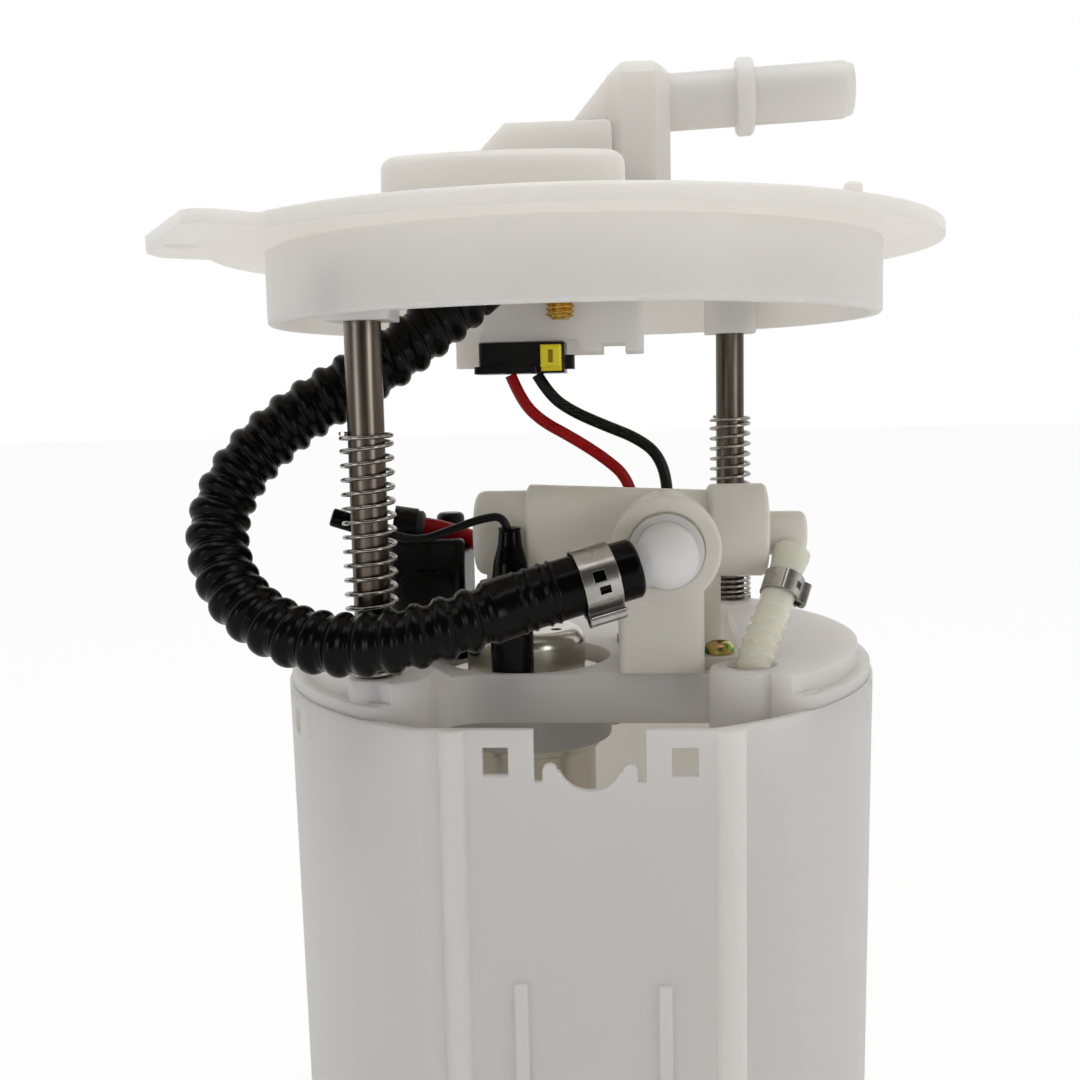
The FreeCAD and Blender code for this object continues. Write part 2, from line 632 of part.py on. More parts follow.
def hose_top_way():
    return (Vector(*HOSE_ROUTE[1]) - Vector(*HOSE_ROUTE[0])).normalize()


def nipple_start():
    """The nipple's root, inside the disc, on the line of the hose's first run."""
    return Vector(*HOSE_ROUTE[0]) - hose_top_way() * NIPPLE_ROOT


def fuel_channel():
    """The slanted bore of the nipple and the level channel through the plateau to the outlet column."""
    way = hose_top_way()
    channel_z = DISC_TOP + CHANNEL_HEIGHT
    end = Vector(*HOSE_ROUTE[0]) + way * 15.0
    length = (channel_z - end.z) / -way.z
    knee = end - way * length
    column = Vector(COLUMN_X, COLUMN_Y, channel_z)
    return [cylinder(CHANNEL_RADIUS, end, way * -1, length), Part.makeSphere(CHANNEL_RADIUS, knee),
            cylinder(CHANNEL_RADIUS, knee, column - knee, knee.distanceToPoint(column))]


def flange_lug():
    """The flat lug at the left, with its slotted hole."""
    points = [(-50.0, -59.0), (-60.6, -70.0), (-81.6, -35.0), (-84.9, -26.0), (-84.9, -18.4), (-76.5, -12.0),
              (-60.0, -12.0)]
    lug = prism(points, DISC_BOTTOM, DISC_BOTTOM + LUG_THICKNESS)
    corners = [edge for edge in lug.Edges if edge.BoundBox.ZLength > 1 and edge.BoundBox.XMin < -60.2]
    lug = lug.makeFillet(4.5, corners)
    hole = block(-77.0, -71.0, -39.6, -33.6, DISC_BOTTOM - 1, DISC_TOP)
    edges = [edge for edge in hole.Edges if edge.BoundBox.ZLength > 1]
    return lug.cut(hole.makeFillet(1.6, edges))


def plateau():
    """The raised field around the terminal socket, bounded at the front by a wide arc."""
    middle = (PLATEAU_LEFT_X + PLATEAU_RIGHT_X) / 2
    centre_y = PLATEAU_FRONT_Y + PLATEAU_RADIUS
    solid = upright(PLATEAU_RADIUS, middle, centre_y, DISC_TOP - 1, DISC_TOP + PLATEAU_HEIGHT)
    field = block(PLATEAU_LEFT_X, PLATEAU_RIGHT_X, PLATEAU_FRONT_Y - 1, PLATEAU_BACK_Y,
                  DISC_TOP - 1, DISC_TOP + PLATEAU_HEIGHT)
    solid = solid.common(field)
    upright_edges = [edge for edge in solid.Edges if edge.BoundBox.ZLength > PLATEAU_HEIGHT]
    solid = solid.makeFillet(5.0, upright_edges)
    top_edges = [edge for edge in solid.Edges if edge.BoundBox.ZMin > DISC_TOP + PLATEAU_HEIGHT - 0.1]
    return solid.makeFillet(2.6, top_edges)


def terminal_socket():
    """The shroud that takes the outer plug, with its left shoulder cut off at a slant."""
    top = DISC_TOP + SOCKET_HEIGHT
    solid = block(SOCKET_LEFT_X, SOCKET_RIGHT_X, SOCKET_FRONT_Y, SOCKET_BACK_Y, DISC_TOP - 1, top)
    left = [edge for edge in solid.Edges
            if edge.BoundBox.ZMin > top - 0.1 and edge.BoundBox.XMax < SOCKET_LEFT_X + 1]
    solid = solid.makeChamfer(SOCKET_CHAMFER, left)
    sides = [edge for edge in solid.Edges
             if edge.BoundBox.XMin > SOCKET_RIGHT_X - 0.1 and edge.BoundBox.ZMin > top - 0.1]
    return solid.makeFillet(1.4, sides)


def inner_bracket():
    """The box under the disc that holds the inner plug, with an ear at its left and a notch at its right."""
    top = DISC_BOTTOM + 1
    bottom = SKIRT_BOTTOM + BRACKET_BOTTOM
    outer = rounded_block(BRACKET_LEFT_X, BRACKET_RIGHT_X, BRACKET_FRONT_Y, BRACKET_BACK_Y, bottom, top, 1.5)
    inner = block(BRACKET_LEFT_X + BRACKET_WALL, BRACKET_RIGHT_X - BRACKET_WALL, BRACKET_FRONT_Y + BRACKET_WALL,
                  BRACKET_BACK_Y - BRACKET_WALL, bottom - 1, DISC_BOTTOM)
    seat = block(PLUG_LEFT_X + 1, PLUG_RIGHT_X - 1, PLUG_FRONT_Y + 0.5, PLUG_BACK_Y, PLUG_TOP, DISC_BOTTOM)
    box = outer.cut(inner).fuse(seat)
    plug_room = block(PLUG_LEFT_X - 4, PLUG_RIGHT_X + 2.6, BRACKET_FRONT_Y - 1, PLUG_BACK_Y + 1.2,
                      bottom - 1, PLUG_TOP)
    notch = block(6.3, 11.4, BRACKET_FRONT_Y - 1, BRACKET_BACK_Y + 1, bottom - 1, bottom + 1.9)
    box = box.cut([plug_room, notch])
    ear = block(-27.4, BRACKET_LEFT_X + 1, 9.5, BRACKET_BACK_Y, bottom - 2.6, top)
    edges = [edge for edge in ear.Edges if edge.BoundBox.YLength > 4 and edge.BoundBox.XMax < -27]
    return box.fuse(ear.makeFillet(1.5, edges[:1]))


def rim_pip():
    x = 50.9
    y = -55.6
    top = DISC_TOP + PIP_HEIGHT
    pip = upright(PIP_RADIUS, x, y, DISC_TOP - 1, top)
    return pip.makeFillet(1.0, [edge for edge in pip.Edges if edge.BoundBox.ZMin > top - 0.1])


def rod_boss(side):
    x, y = rod_place(side)
    half = ROD_BOSS_WIDTH / 2
    boss = rounded_block(x - half, x + half, y - half, y + half, ROD_BOSS_BOTTOM, DISC_BOTTOM + 1, 1.5)
    inside = upright(SKIRT_RADIUS - 0.5, 0, 0, ROD_BOSS_BOTTOM, DISC_BOTTOM + 1)
    return boss.common(inside)


def terminal_places():
    middle = (POCKET_LEFT_X + POCKET_RIGHT_X) / 2
    return [middle - 3.0, middle + 3.0]


def terminal_blade(x, gap):
    bottom = PLUG_TOP + PLUG_GAP
    top = DISC_TOP + SOCKET_HEIGHT - 4
    return block(x - 1.4 - gap, x + 1.4 + gap, 0.6 - gap, 1.4 + gap, bottom, top)


def make_terminals():
    return group([terminal_blade(x, 0.0) for x in terminal_places()])


def make_stud():
    """The earth stud, with a chamfered end; it is pressed into the disc."""
    bottom = SKIRT_BOTTOM + 1.4
    profile = [(0, 0), (2.0, 0), (STUD_RADIUS, 1.0), (STUD_RADIUS, DISC_BOTTOM - bottom),
               (STUD_RADIUS - 0.1, DISC_BOTTOM - bottom), (STUD_RADIUS - 0.1, DISC_BOTTOM - bottom + 2.5),
               (0, DISC_BOTTOM - bottom + 2.5)]
    return turned(profile, Vector(STUD_X, STUD_Y, bottom), Z_AXIS)


# Outlet elbow

def make_outlet_elbow():
    """Column with bevelled corners, a sloping gusset and the outlet pipe with its bead."""
    base = DISC_TOP
    x0 = COLUMN_X - COLUMN_WIDTH / 2
    x1 = COLUMN_X + COLUMN_WIDTH / 2
    y0 = COLUMN_Y - COLUMN_DEPTH / 2
    y1 = COLUMN_Y + COLUMN_DEPTH / 2
    c = COLUMN_CHAMFER
    plan = [(x0, y0 + c), (x0 + c, y0), (x1 - c, y0), (x1, y0 + c), (x1, y1 - c), (x1 - c, y1), (x0 + c, y1),
            (x0, y1 - c)]
    column = prism(plan, base + SOCKET_HEIGHT * 0.4, base + COLUMN_HEIGHT)
    top = [edge for edge in column.Edges if edge.BoundBox.ZMin > base + COLUMN_HEIGHT - 0.1]
    column = column.makeChamfer(2.8, top)
    column = column.cut(block(x0 - 1, SOCKET_RIGHT_X + 0.02, y0 - 1, y1 + 1, base - 1, base + SOCKET_HEIGHT + 0.02))
    column = column.cut(block(x0 - 1, PLATEAU_RIGHT_X + 0.02, y0 - 1, y1 + 1, base - 1,
                              base + PLATEAU_HEIGHT + 0.02))
    lower = prism(plan, base, base + SOCKET_HEIGHT).cut(
        block(x0 - 1, PLATEAU_RIGHT_X + 0.02, y0 - 1, y1 + 1, base - 1, base + SOCKET_HEIGHT + 0.02))
    low = base + SOCKET_HEIGHT + 0.02
    high = base + COLUMN_HEIGHT - 2.8
    gusset_points = [Vector(x0 - 8.0, 0, low), Vector(x0 + 2, 0, low), Vector(x0 + 2, 0, high),
                     Vector(x0 + 0.2, 0, high)]
    gusset = Part.Face(Part.makePolygon(gusset_points + [gusset_points[0]])).extrude(Vector(0, 12, 0))
    gusset.translate(Vector(0, -6, 0))
    rise = math.radians(PIPE_RISE)
    way = Vector(math.cos(rise), 0, math.sin(rise))
    pipe_start = Vector(COLUMN_X, COLUMN_Y, base + PIPE_HEIGHT - 0.2)
    bead = PIPE_LENGTH - BEAD_FROM_TIP
    near = bead - BEAD_WIDTH / 2
    far = bead + BEAD_WIDTH / 2
    profile = [(0, 0), (PIPE_RADIUS, 0), (PIPE_RADIUS, near), (BEAD_RADIUS - 0.6, near),
               (BEAD_RADIUS, near + 0.6), (BEAD_RADIUS, far - 0.6), (BEAD_RADIUS - 0.6, far), (PIPE_RADIUS, far),
               (PIPE_RADIUS, PIPE_LENGTH - 2.0), (PIPE_RADIUS - 0.8, PIPE_LENGTH), (0, PIPE_LENGTH)]
    pipe = turned(profile, pipe_start, way)
    elbow = joined([column, lower, gusset, pipe])
    channel_z = base + CHANNEL_HEIGHT
    bores = [cylinder(PIPE_BORE, pipe_start, way, PIPE_LENGTH + 1),
             upright(CHANNEL_RADIUS, COLUMN_X, COLUMN_Y, channel_z - CHANNEL_RADIUS, pipe_start.z)]
    return elbow.cut(bores + fuel_channel())


def barb_profile(length):
    barb = NIPPLE_RADIUS + BARB_HEIGHT
    return [(0, 0), (NIPPLE_RADIUS, 0), (NIPPLE_RADIUS, length - 8), (barb, length - 8),
            (NIPPLE_RADIUS - 0.4, length - 4.5), (barb, length - 4.5), (NIPPLE_RADIUS - 0.8, length), (0, length)]


# Inner plug and its lock

def lock_room(gap):
    """The room for the lock at the plug's right end."""
    x1 = PLUG_RIGHT_X - 0.6
    x0 = x1 - LOCK_WIDTH
    return block(x0 - gap, x1 + gap, PLUG_FRONT_Y - 1 - gap, PLUG_FRONT_Y + 7.0 + gap,
                 PLUG_BOTTOM + 0.4 - gap, PLUG_TOP - 1.1 + gap)


def make_plug():
    body = rounded_block(PLUG_LEFT_X + 1, PLUG_RIGHT_X, PLUG_FRONT_Y, PLUG_BACK_Y - 0.4, PLUG_BOTTOM,
                         PLUG_TOP - PLUG_GAP, 1.2)
    lip = rounded_block(PLUG_LEFT_X, PLUG_RIGHT_X - 5.6, PLUG_FRONT_Y - 0.6, PLUG_BACK_Y, PLUG_BOTTOM,
                        PLUG_BOTTOM + 1.6, 1.2)
    tail = rounded_block(PLUG_RIGHT_X - 2, PLUG_RIGHT_X + 2.0, PLUG_FRONT_Y + 2.5, PLUG_FRONT_Y + 6.5,
                         PLUG_BOTTOM + 0.8, PLUG_TOP - 3.0, 0.6)
    plug = joined([body, lip, tail])
    cuts = [lock_room(0.15)]
    for route in [RED_WIRE_ROUTE, BLACK_WIRE_ROUTE]:
        cuts.append(upright(WIRE_RADIUS + 0.3, route[0][0], route[0][1], PLUG_BOTTOM - 1, PLUG_BOTTOM + 4))
    cuts.append(block(PLUG_RIGHT_X - 5.3, PLUG_RIGHT_X - 0.3, PLUG_FRONT_Y - 2, PLUG_FRONT_Y + 0.2,
                      PLUG_BOTTOM - 1, PLUG_TOP - 0.8))
    return plug.cut(cuts)


def make_lock():
    """A yellow slide with a slot down its middle; it is pushed in along +Y."""
    lock = lock_room(0.0)
    x = PLUG_RIGHT_X - 0.6 - LOCK_WIDTH / 2
    face = block(x - LOCK_WIDTH / 2, x + LOCK_WIDTH / 2, PLUG_FRONT_Y - 3.4, PLUG_FRONT_Y - 0.9,
                 PLUG_BOTTOM + LOCK_LIFT, PLUG_TOP - 0.9)
    edges = [edge for edge in face.Edges if edge.BoundBox.YMax < PLUG_FRONT_Y - 3.3]
    face = face.makeFillet(0.4, edges)
    lock = lock.fuse(face).removeSplitter()
    slot = block(x - 0.5, x + 0.5, PLUG_FRONT_Y - 4, PLUG_FRONT_Y - 1.4,
                 PLUG_BOTTOM + LOCK_LIFT + 0.9, PLUG_TOP - 2.0)
    return lock.cut(slot)


# Guide rods, retaining rings and springs

def make_rod(side):
    x, y = rod_place(side)
    rod = upright(ROD_RADIUS, x, y, ROD_BOTTOM, ROD_TOP)
    rod = rod.makeChamfer(0.6, [edge for edge in rod.Edges if edge.BoundBox.ZMax < ROD_BOTTOM + 0.1])
    groove_z = ring_bottom()
    groove = upright(ROD_RADIUS + 1, x, y, groove_z, groove_z + RING_THICKNESS)
    groove = groove.cut(upright(ROD_RADIUS - 0.7, x, y, groove_z, groove_z + RING_THICKNESS))
    return rod.cut(groove)


def ring_bottom():
    """The ring lies just under the guide tube when the flange is fully up."""
    return COVER_TOP - GUIDE_LENGTH - COVER_THICKNESS - 0.2 - RING_THICKNESS


def make_rings():
    rings = []
    for side in [-1, 1]:
        x, y = rod_place(side)
        ring = upright(RING_RADIUS, x, y, ring_bottom() + 0.05, ring_bottom() + RING_THICKNESS - 0.05)
        ring = ring.cut(upright(ROD_RADIUS - 0.65, x, y, 0, RESERVOIR_HEIGHT))
        gap = block(x - 1.6, x + 1.6, y, y + 8, 0, RESERVOIR_HEIGHT)
        rings.append(ring.cut(gap))
    return group(rings)


def make_spring(side):
    """A spring around a rod, as a sleeve of its outer size."""
    x, y = rod_place(side)
    sleeve = upright(SPRING_RADIUS, x, y, SPRING_SEAT, SPRING_SEAT + SPRING_LENGTH)
    return sleeve.cut(upright(SPRING_RADIUS - SPRING_WIRE, x, y, 0, DISC_TOP))


# Valve housing

def make_housing():
    axis = Vector(HOUSING_LEFT_X, HOUSING_Y, HOUSING_Z)
    left = cylinder(HOUSING_LEFT_RADIUS, axis, X_AXIS, HOUSING_STEP_X - HOUSING_LEFT_X + 1)
    end = [edge for edge in left.Edges if edge.BoundBox.XMax < HOUSING_LEFT_X + 0.1]
    left = left.makeFillet(HOUSING_FILLET, end)
    middle = Part.makeCone(HOUSING_WIDE_RADIUS, HOUSING_NARROW_RADIUS, HOUSING_RING_X - HOUSING_STEP_X,
                           Vector(HOUSING_STEP_X, HOUSING_Y, HOUSING_Z), X_AXIS)
    step = [edge for edge in middle.Edges if edge.BoundBox.XMax < HOUSING_STEP_X + 0.1]
    middle = middle.makeFillet(1.0, step)
    ring = cylinder(HOUSING_RING_RADIUS, Vector(HOUSING_RING_X, HOUSING_Y, HOUSING_Z), X_AXIS,
                    HOUSING_RIGHT_X - HOUSING_RING_X)
    ring = ring.makeFillet(1.2, [edge for edge in ring.Edges if edge.BoundBox.XLength < 0.1])
    port = cylinder(PORT_RADIUS, Vector(PORT_X, PORT_FACE_Y, PORT_Z), Y_AXIS, HOUSING_Y - PORT_FACE_Y)
    port = port.makeFillet(0.8, [edge for edge in port.Edges if edge.BoundBox.YMax < PORT_FACE_Y + 0.1])
    pedestal = rounded_block(PEDESTAL_LEFT_X, PEDESTAL_RIGHT_X, PORT_FACE_Y + 0.3, PEDESTAL_BACK_Y, COVER_TOP,
                             PORT_Z, 1.5)
    fin = block(PEDESTAL_RIGHT_X - 1, 30.8, -16.5, -13.5, COVER_TOP + LUG_HEIGHT,
                HOUSING_Z - HOUSING_RING_RADIUS + 2)
    spigot = upright(SPIGOT_RADIUS, SPIGOT_X, HOUSING_Y, SPIGOT_BOTTOM, HOUSING_Z - 3)
    lug = upright(4.6, SCREW_X, SCREW_Y, COVER_TOP, COVER_TOP + LUG_HEIGHT)
    lug = lug.fuse(block(PEDESTAL_RIGHT_X - 2, SCREW_X, SCREW_Y - 4.6, SCREW_Y + 4.6,
                         COVER_TOP, COVER_TOP + LUG_HEIGHT))
    housing = joined([left, middle, ring, port, pedestal, fin, spigot, lug])
    return housing.cut(housing_bores())


def housing_bores():
    line = Vector(0, HOUSING_Y, HOUSING_Z)
    right = HOUSING_RIGHT_X - HOUSING_RING_X
    return [cylinder(SEAT_BORE, line + X_AXIS * (HOUSING_LEFT_X + 3), X_AXIS, SEAT_X - HOUSING_LEFT_X),
            cylinder(VALVE_BORE, line + X_AXIS * SEAT_X, X_AXIS, HOUSING_RING_X - SEAT_X + 1),
            cylinder(REGULATOR_BORE, line + X_AXIS * HOUSING_RING_X, X_AXIS, right + 1),
            cylinder(4.0, Vector(PORT_X, PORT_FACE_Y - 1, PORT_Z), Y_AXIS, HOUSING_Y - PORT_FACE_Y),
            cylinder(ELBOW_RADIUS + ELBOW_FIT, Vector(PORT_X, PORT_FACE_Y - 1, PORT_Z), Y_AXIS, 9.0),
            cylinder(PORT_RECESS_RADIUS, Vector(PORT_X, PORT_FACE_Y - 1, PORT_Z), Y_AXIS, 1 + PORT_RECESS_DEPTH),
            upright(SPIGOT_BORE, SPIGOT_X, HOUSING_Y, SPIGOT_BOTTOM - 1, HOUSING_Z),
            upright(SCREW_RADIUS, SCREW_X, SCREW_Y, COVER_TOP - 1, COVER_TOP + LUG_HEIGHT + 1)]


def make_poppet():
    """The check valve: a disc that closes the seat, with a stem that guides the spring."""
    profile = [(0, 0), (SEAT_BORE + 1.0, 0), (SEAT_BORE + 1.0, 1.6), (1.4, 2.4), (1.4, 8.0), (0, 8.0)]
    return turned(profile, Vector(SEAT_X + 0.05, HOUSING_Y, HOUSING_Z), X_AXIS)


def make_retainer():
    """A spoked ring pressed in the bore behind the check valve's spring."""
    start = Vector(SEAT_X + 14.0, HOUSING_Y, HOUSING_Z)
    ring = cylinder(VALVE_BORE - 0.02, start, X_AXIS, 2.0).cut(cylinder(VALVE_BORE - 1.2, start, X_AXIS, 2.0))
    hub = cylinder(2.6, start, X_AXIS, 2.0).cut(cylinder(1.6, start, X_AXIS, 2.0))
    spokes = []
    for number in range(3):
        spoke = block(start.x, start.x + 2.0, -0.6, 0.6, 2.0, VALVE_BORE - 0.6)
        spoke.rotate(Vector(0, 0, 0), X_AXIS, 120 * number)
        spoke.translate(Vector(0, HOUSING_Y, HOUSING_Z))
        spokes.append(spoke)
    return joined([ring, hub] + spokes)


def make_valve_spring():
    start = Vector(SEAT_X + 2.6, HOUSING_Y, HOUSING_Z)
    return cylinder(2.6, start, X_AXIS, 11.2).cut(cylinder(2.0, start, X_AXIS, 11.2))


def make_regulator():
    """The regulator's metal can: a stepped cup with an inlet nose on the left."""
    length = HOUSING_RIGHT_X - HOUSING_RING_X
    profile = [(0, -4), (3.0, -4), (3.0, 0.1), (REGULATOR_BORE - 1.6, 0.1), (REGULATOR_BORE - 0.1, 1.8),
               (REGULATOR_BORE - 0.1, length - 3.0), (0, length - 3.0)]
    can = turned(profile, Vector(HOUSING_RING_X, HOUSING_Y, HOUSING_Z), X_AXIS)
    nose = cylinder(1.6, Vector(HOUSING_RING_X - 5, HOUSING_Y, HOUSING_Z), X_AXIS, 8.0)
    return can.cut(nose)


def make_regulator_cap():
    """The cover disc in the ring, the short end tube and the nipple for the return hose."""
    disc_x = HOUSING_RIGHT_X - 2.8
    disc = cylinder(REGULATOR_BORE - 0.1, Vector(disc_x, HOUSING_Y, HOUSING_Z), X_AXIS, 2.6)
    tube = cylinder(CAP_RADIUS, Vector(disc_x, HOUSING_Y, HOUSING_Z - 0.8), X_AXIS, CAP_RIGHT_X - disc_x)
    tube = tube.makeFillet(1.6, [edge for edge in tube.Edges if edge.BoundBox.XMin > CAP_RIGHT_X - 0.1])
    hose_end = Vector(*RETURN_ROUTE[0])
    way = (Vector(*RETURN_ROUTE[1]) - hose_end).normalize()
    root = Vector(RETURN_NECK_X, HOUSING_Y, HOUSING_Z - 0.8)
    neck_length = root.distanceToPoint(hose_end)
    neck = cylinder(RETURN_NIPPLE_RADIUS, root, hose_end - root, neck_length)
    nipple = cylinder(RETURN_NIPPLE_RADIUS, hose_end, way, RETURN_NIPPLE_LENGTH)
    cap = joined([disc, tube, neck, Part.makeSphere(RETURN_NIPPLE_RADIUS, hose_end), nipple])
    bores = [cylinder(2.8, Vector(disc_x - 1, HOUSING_Y, HOUSING_Z - 0.8), X_AXIS, CAP_BORE_END_X - disc_x + 1),
             cylinder(1.5, root, hose_end - root, neck_length), Part.makeSphere(1.5, hose_end),
             cylinder(1.5, hose_end, way, RETURN_NIPPLE_LENGTH + 1)]
    return cap.cut(bores)


def make_cover_screw():
    """A pan-head screw through the housing's lug into the cover."""
    seat = COVER_TOP + LUG_HEIGHT
    profile = [(0, -5.5), (SCREW_RADIUS - 0.05, -5.5), (SCREW_RADIUS - 0.05, 0), (SCREW_HEAD_RADIUS, 0),
               (SCREW_HEAD_RADIUS, 0.9), (SCREW_HEAD_RADIUS - 0.6, 1.7), (SCREW_HEAD_RADIUS - 1.6, 2.1), (0, 2.2)]
    screw = turned(profile, Vector(SCREW_X, SCREW_Y, seat), Z_AXIS)
    cross = [block(SCREW_X - 1.4, SCREW_X + 1.4, SCREW_Y - 0.3, SCREW_Y + 0.3, seat + 1.2, seat + 3),
             block(SCREW_X - 0.3, SCREW_X + 0.3, SCREW_Y - 1.4, SCREW_Y + 1.4, seat + 1.2, seat + 3)]
    return screw.cut(cross)


# Feed elbow and hose

def elbow_centre():
    return Vector(PORT_X, ELBOW_Y, PORT_Z)


def elbow_way():
    """The way of the nipple, from the ball to the hose's last corner."""
    return (Vector(*HOSE_ROUTE[-1]) - elbow_centre()).normalize()


def make_feed_elbow():
    centre = elbow_centre()
    depth = PORT_FACE_Y + 8.0 - ELBOW_Y
    stem = cylinder(ELBOW_RADIUS, centre, Y_AXIS, depth - 0.1)
    ball = Part.makeSphere(ELBOW_RADIUS, centre)
    nipple = turned(barb_profile(ELBOW_NIPPLE), centre, elbow_way())
    shoulder_start = Vector(PORT_X, PORT_FACE_Y - SHOULDER_PROUD, PORT_Z)
    shoulder = cylinder(SHOULDER_RADIUS, shoulder_start, Y_AXIS, SHOULDER_LENGTH)
    elbow = joined([stem, ball, nipple, shoulder])
    groove = cylinder(ELBOW_RADIUS + 1, centre + Y_AXIS * (depth - 5.2), Y_AXIS, 2.0)
    groove = groove.cut(cylinder(ELBOW_RADIUS - 1.2, centre + Y_AXIS * (depth - 5.2), Y_AXIS, 2.0))
    bores = [cylinder(ELBOW_BORE, centre, Y_AXIS, depth + 1), Part.makeSphere(ELBOW_BORE, centre),
             cylinder(ELBOW_BORE, centre, elbow_way(), ELBOW_NIPPLE + 1)]
    return elbow.cut([groove] + bores)


def make_elbow_seal():
    depth = PORT_FACE_Y + 8.0 - ELBOW_Y
    start = elbow_centre() + Y_AXIS * (depth - 5.1)
    return cylinder(ELBOW_RADIUS, start, Y_AXIS, 1.8).cut(cylinder(ELBOW_RADIUS - 1.15, start, Y_AXIS, 1.8))


def feed_hose_route():
    end = elbow_centre() + elbow_way() * HOSE_END_GAP
    return HOSE_ROUTE + [(end.x, end.y, end.z)]


def make_feed_hose():
    return swept(feed_hose_route(), HOSE_RADIUS, HOSE_BORE, "feed_hose")


def ear_clamp(centre, way, ear_way, bore, width, thickness):
    """A steel band with a crimped ear standing off it."""
    ear_way = (ear_way - way * ear_way.dot(way)).normalize()
    start = centre - way * (width / 2)
    band = cylinder(bore + thickness, start, way, width).cut(cylinder(bore, start, way, width))
    side_way = ear_way.cross(way)
    ear = Part.makeBox(width, 3.4, 2.6, Vector(0, 0, 0))
    ear = ear.cut(Part.makeBox(width, 3.4 - 2 * thickness, 2.6 - thickness, Vector(0, thickness, 0)))
    frame = FreeCAD.Matrix(way.x, side_way.x, ear_way.x, 0, way.y, side_way.y, ear_way.y, 0,
                           way.z, side_way.z, ear_way.z, 0, 0, 0, 0, 1)
    corner = start + ear_way * (bore + thickness * 0.4) - side_way * 1.7
    ear.Placement = FreeCAD.Placement(frame)
    ear.translate(corner)
    return joined([band, ear])


def make_lower_clamp():
    way = elbow_way()
    centre = elbow_centre() + way * (CLAMP_FROM_ELBOW + CLAMP_WIDTH / 2)
    return ear_clamp(centre, way, Vector(0, -0.35, -1), HOSE_RADIUS + CLAMP_GAP, CLAMP_WIDTH, CLAMP_THICKNESS)


def make_return_hose():
    return swept(RETURN_ROUTE, RETURN_HOSE_RADIUS, RETURN_HOSE_BORE, "return_hose")


def make_return_clamp():
    way = (Vector(*RETURN_ROUTE[1]) - Vector(*RETURN_ROUTE[0])).normalize()
    centre = Vector(*RETURN_ROUTE[0]) + way * RETURN_CLAMP_FROM_END
    return ear_clamp(centre, way, Vector(1, 0.3, 0), RETURN_HOSE_RADIUS + CLAMP_GAP, 4.6, 0.5)


# Pump

def make_pump_can():
    """The steel tube of the pump, rolled in at both ends."""
    can = upright(PUMP_RADIUS, PUMP_X, PUMP_Y, PUMP_BOTTOM, PUMP_TOP)
    can = can.makeFillet(1.0, [edge for edge in can.Edges if edge.BoundBox.ZLength < 0.1])
    hollow = upright(PUMP_RADIUS - PUMP_SHELL, PUMP_X, PUMP_Y, PUMP_BOTTOM + PUMP_SHELL, PUMP_TOP - PUMP_SHELL)
    mouths = [upright(DOME_RADIUS + 0.02, PUMP_X, PUMP_Y, PUMP_TOP - 2, PUMP_TOP + 1),
              upright(PUMP_RADIUS - 3, PUMP_X, PUMP_Y, PUMP_BOTTOM - 1, PUMP_BOTTOM + 2)]
    return can.cut([hollow] + mouths)


def make_pump_top():
    """The end cap: bearing web inside the can, domed top with a rounded shoulder, and the outlet nozzle."""
    flange_z = PUMP_TOP - PUMP_SHELL
    web = upright(PUMP_RADIUS - PUMP_SHELL - 0.02, PUMP_X, PUMP_Y, flange_z - 8, flange_z)
    dome = upright(DOME_RADIUS, PUMP_X, PUMP_Y, flange_z - 1, DOME_TOP)
    dome = dome.makeFillet(DOME_SHOULDER, [edge for edge in dome.Edges if edge.BoundBox.ZMin > DOME_TOP - 0.1])
    nozzle = upright(NOZZLE_RADIUS, SPIGOT_X, HOUSING_Y, DOME_TOP - 1, NOZZLE_TOP)
    top = joined([web, dome, nozzle])
    cuts = [upright(2.0, SPIGOT_X, HOUSING_Y, flange_z - 2, NOZZLE_TOP + 1),
            upright(SHAFT_RADIUS + SHAFT_FIT, PUMP_X, PUMP_Y, flange_z - 9, flange_z - 2),
            upright(1.2, PUMP_X + 7, PUMP_Y - 4, DOME_TOP - 2.5, DOME_TOP + 1)]
    return top.cut(cuts)


def make_pump_bottom():
    """The inlet cap: impeller chamber and inlet spout."""
    chamber_z = PUMP_BOTTOM + PUMP_SHELL
    cap = upright(PUMP_RADIUS - PUMP_SHELL - 0.02, PUMP_X, PUMP_Y, chamber_z, chamber_z + 12)
    nose = upright(PUMP_RADIUS - 3.02, PUMP_X, PUMP_Y, PUMP_BOTTOM - 3, chamber_z + 1)
    spout = upright(4.0, PUMP_X + 6, PUMP_Y, PUMP_BOTTOM - 12, PUMP_BOTTOM)
    bottom = joined([cap, nose, spout])
    room = chamber_z + 4
    cuts = [upright(IMPELLER_RADIUS + 0.15, PUMP_X, PUMP_Y, room - 0.1, room + IMPELLER_THICKNESS + 0.1),
            upright(2.6, PUMP_X + 6, PUMP_Y, PUMP_BOTTOM - 13, room),
            upright(1.8, PUMP_X - 6, PUMP_Y, room, chamber_z + 13),
            upright(SHAFT_RADIUS + SHAFT_FIT, PUMP_X, PUMP_Y, chamber_z + 1.5, chamber_z + 13)]
    return bottom.cut(cuts)


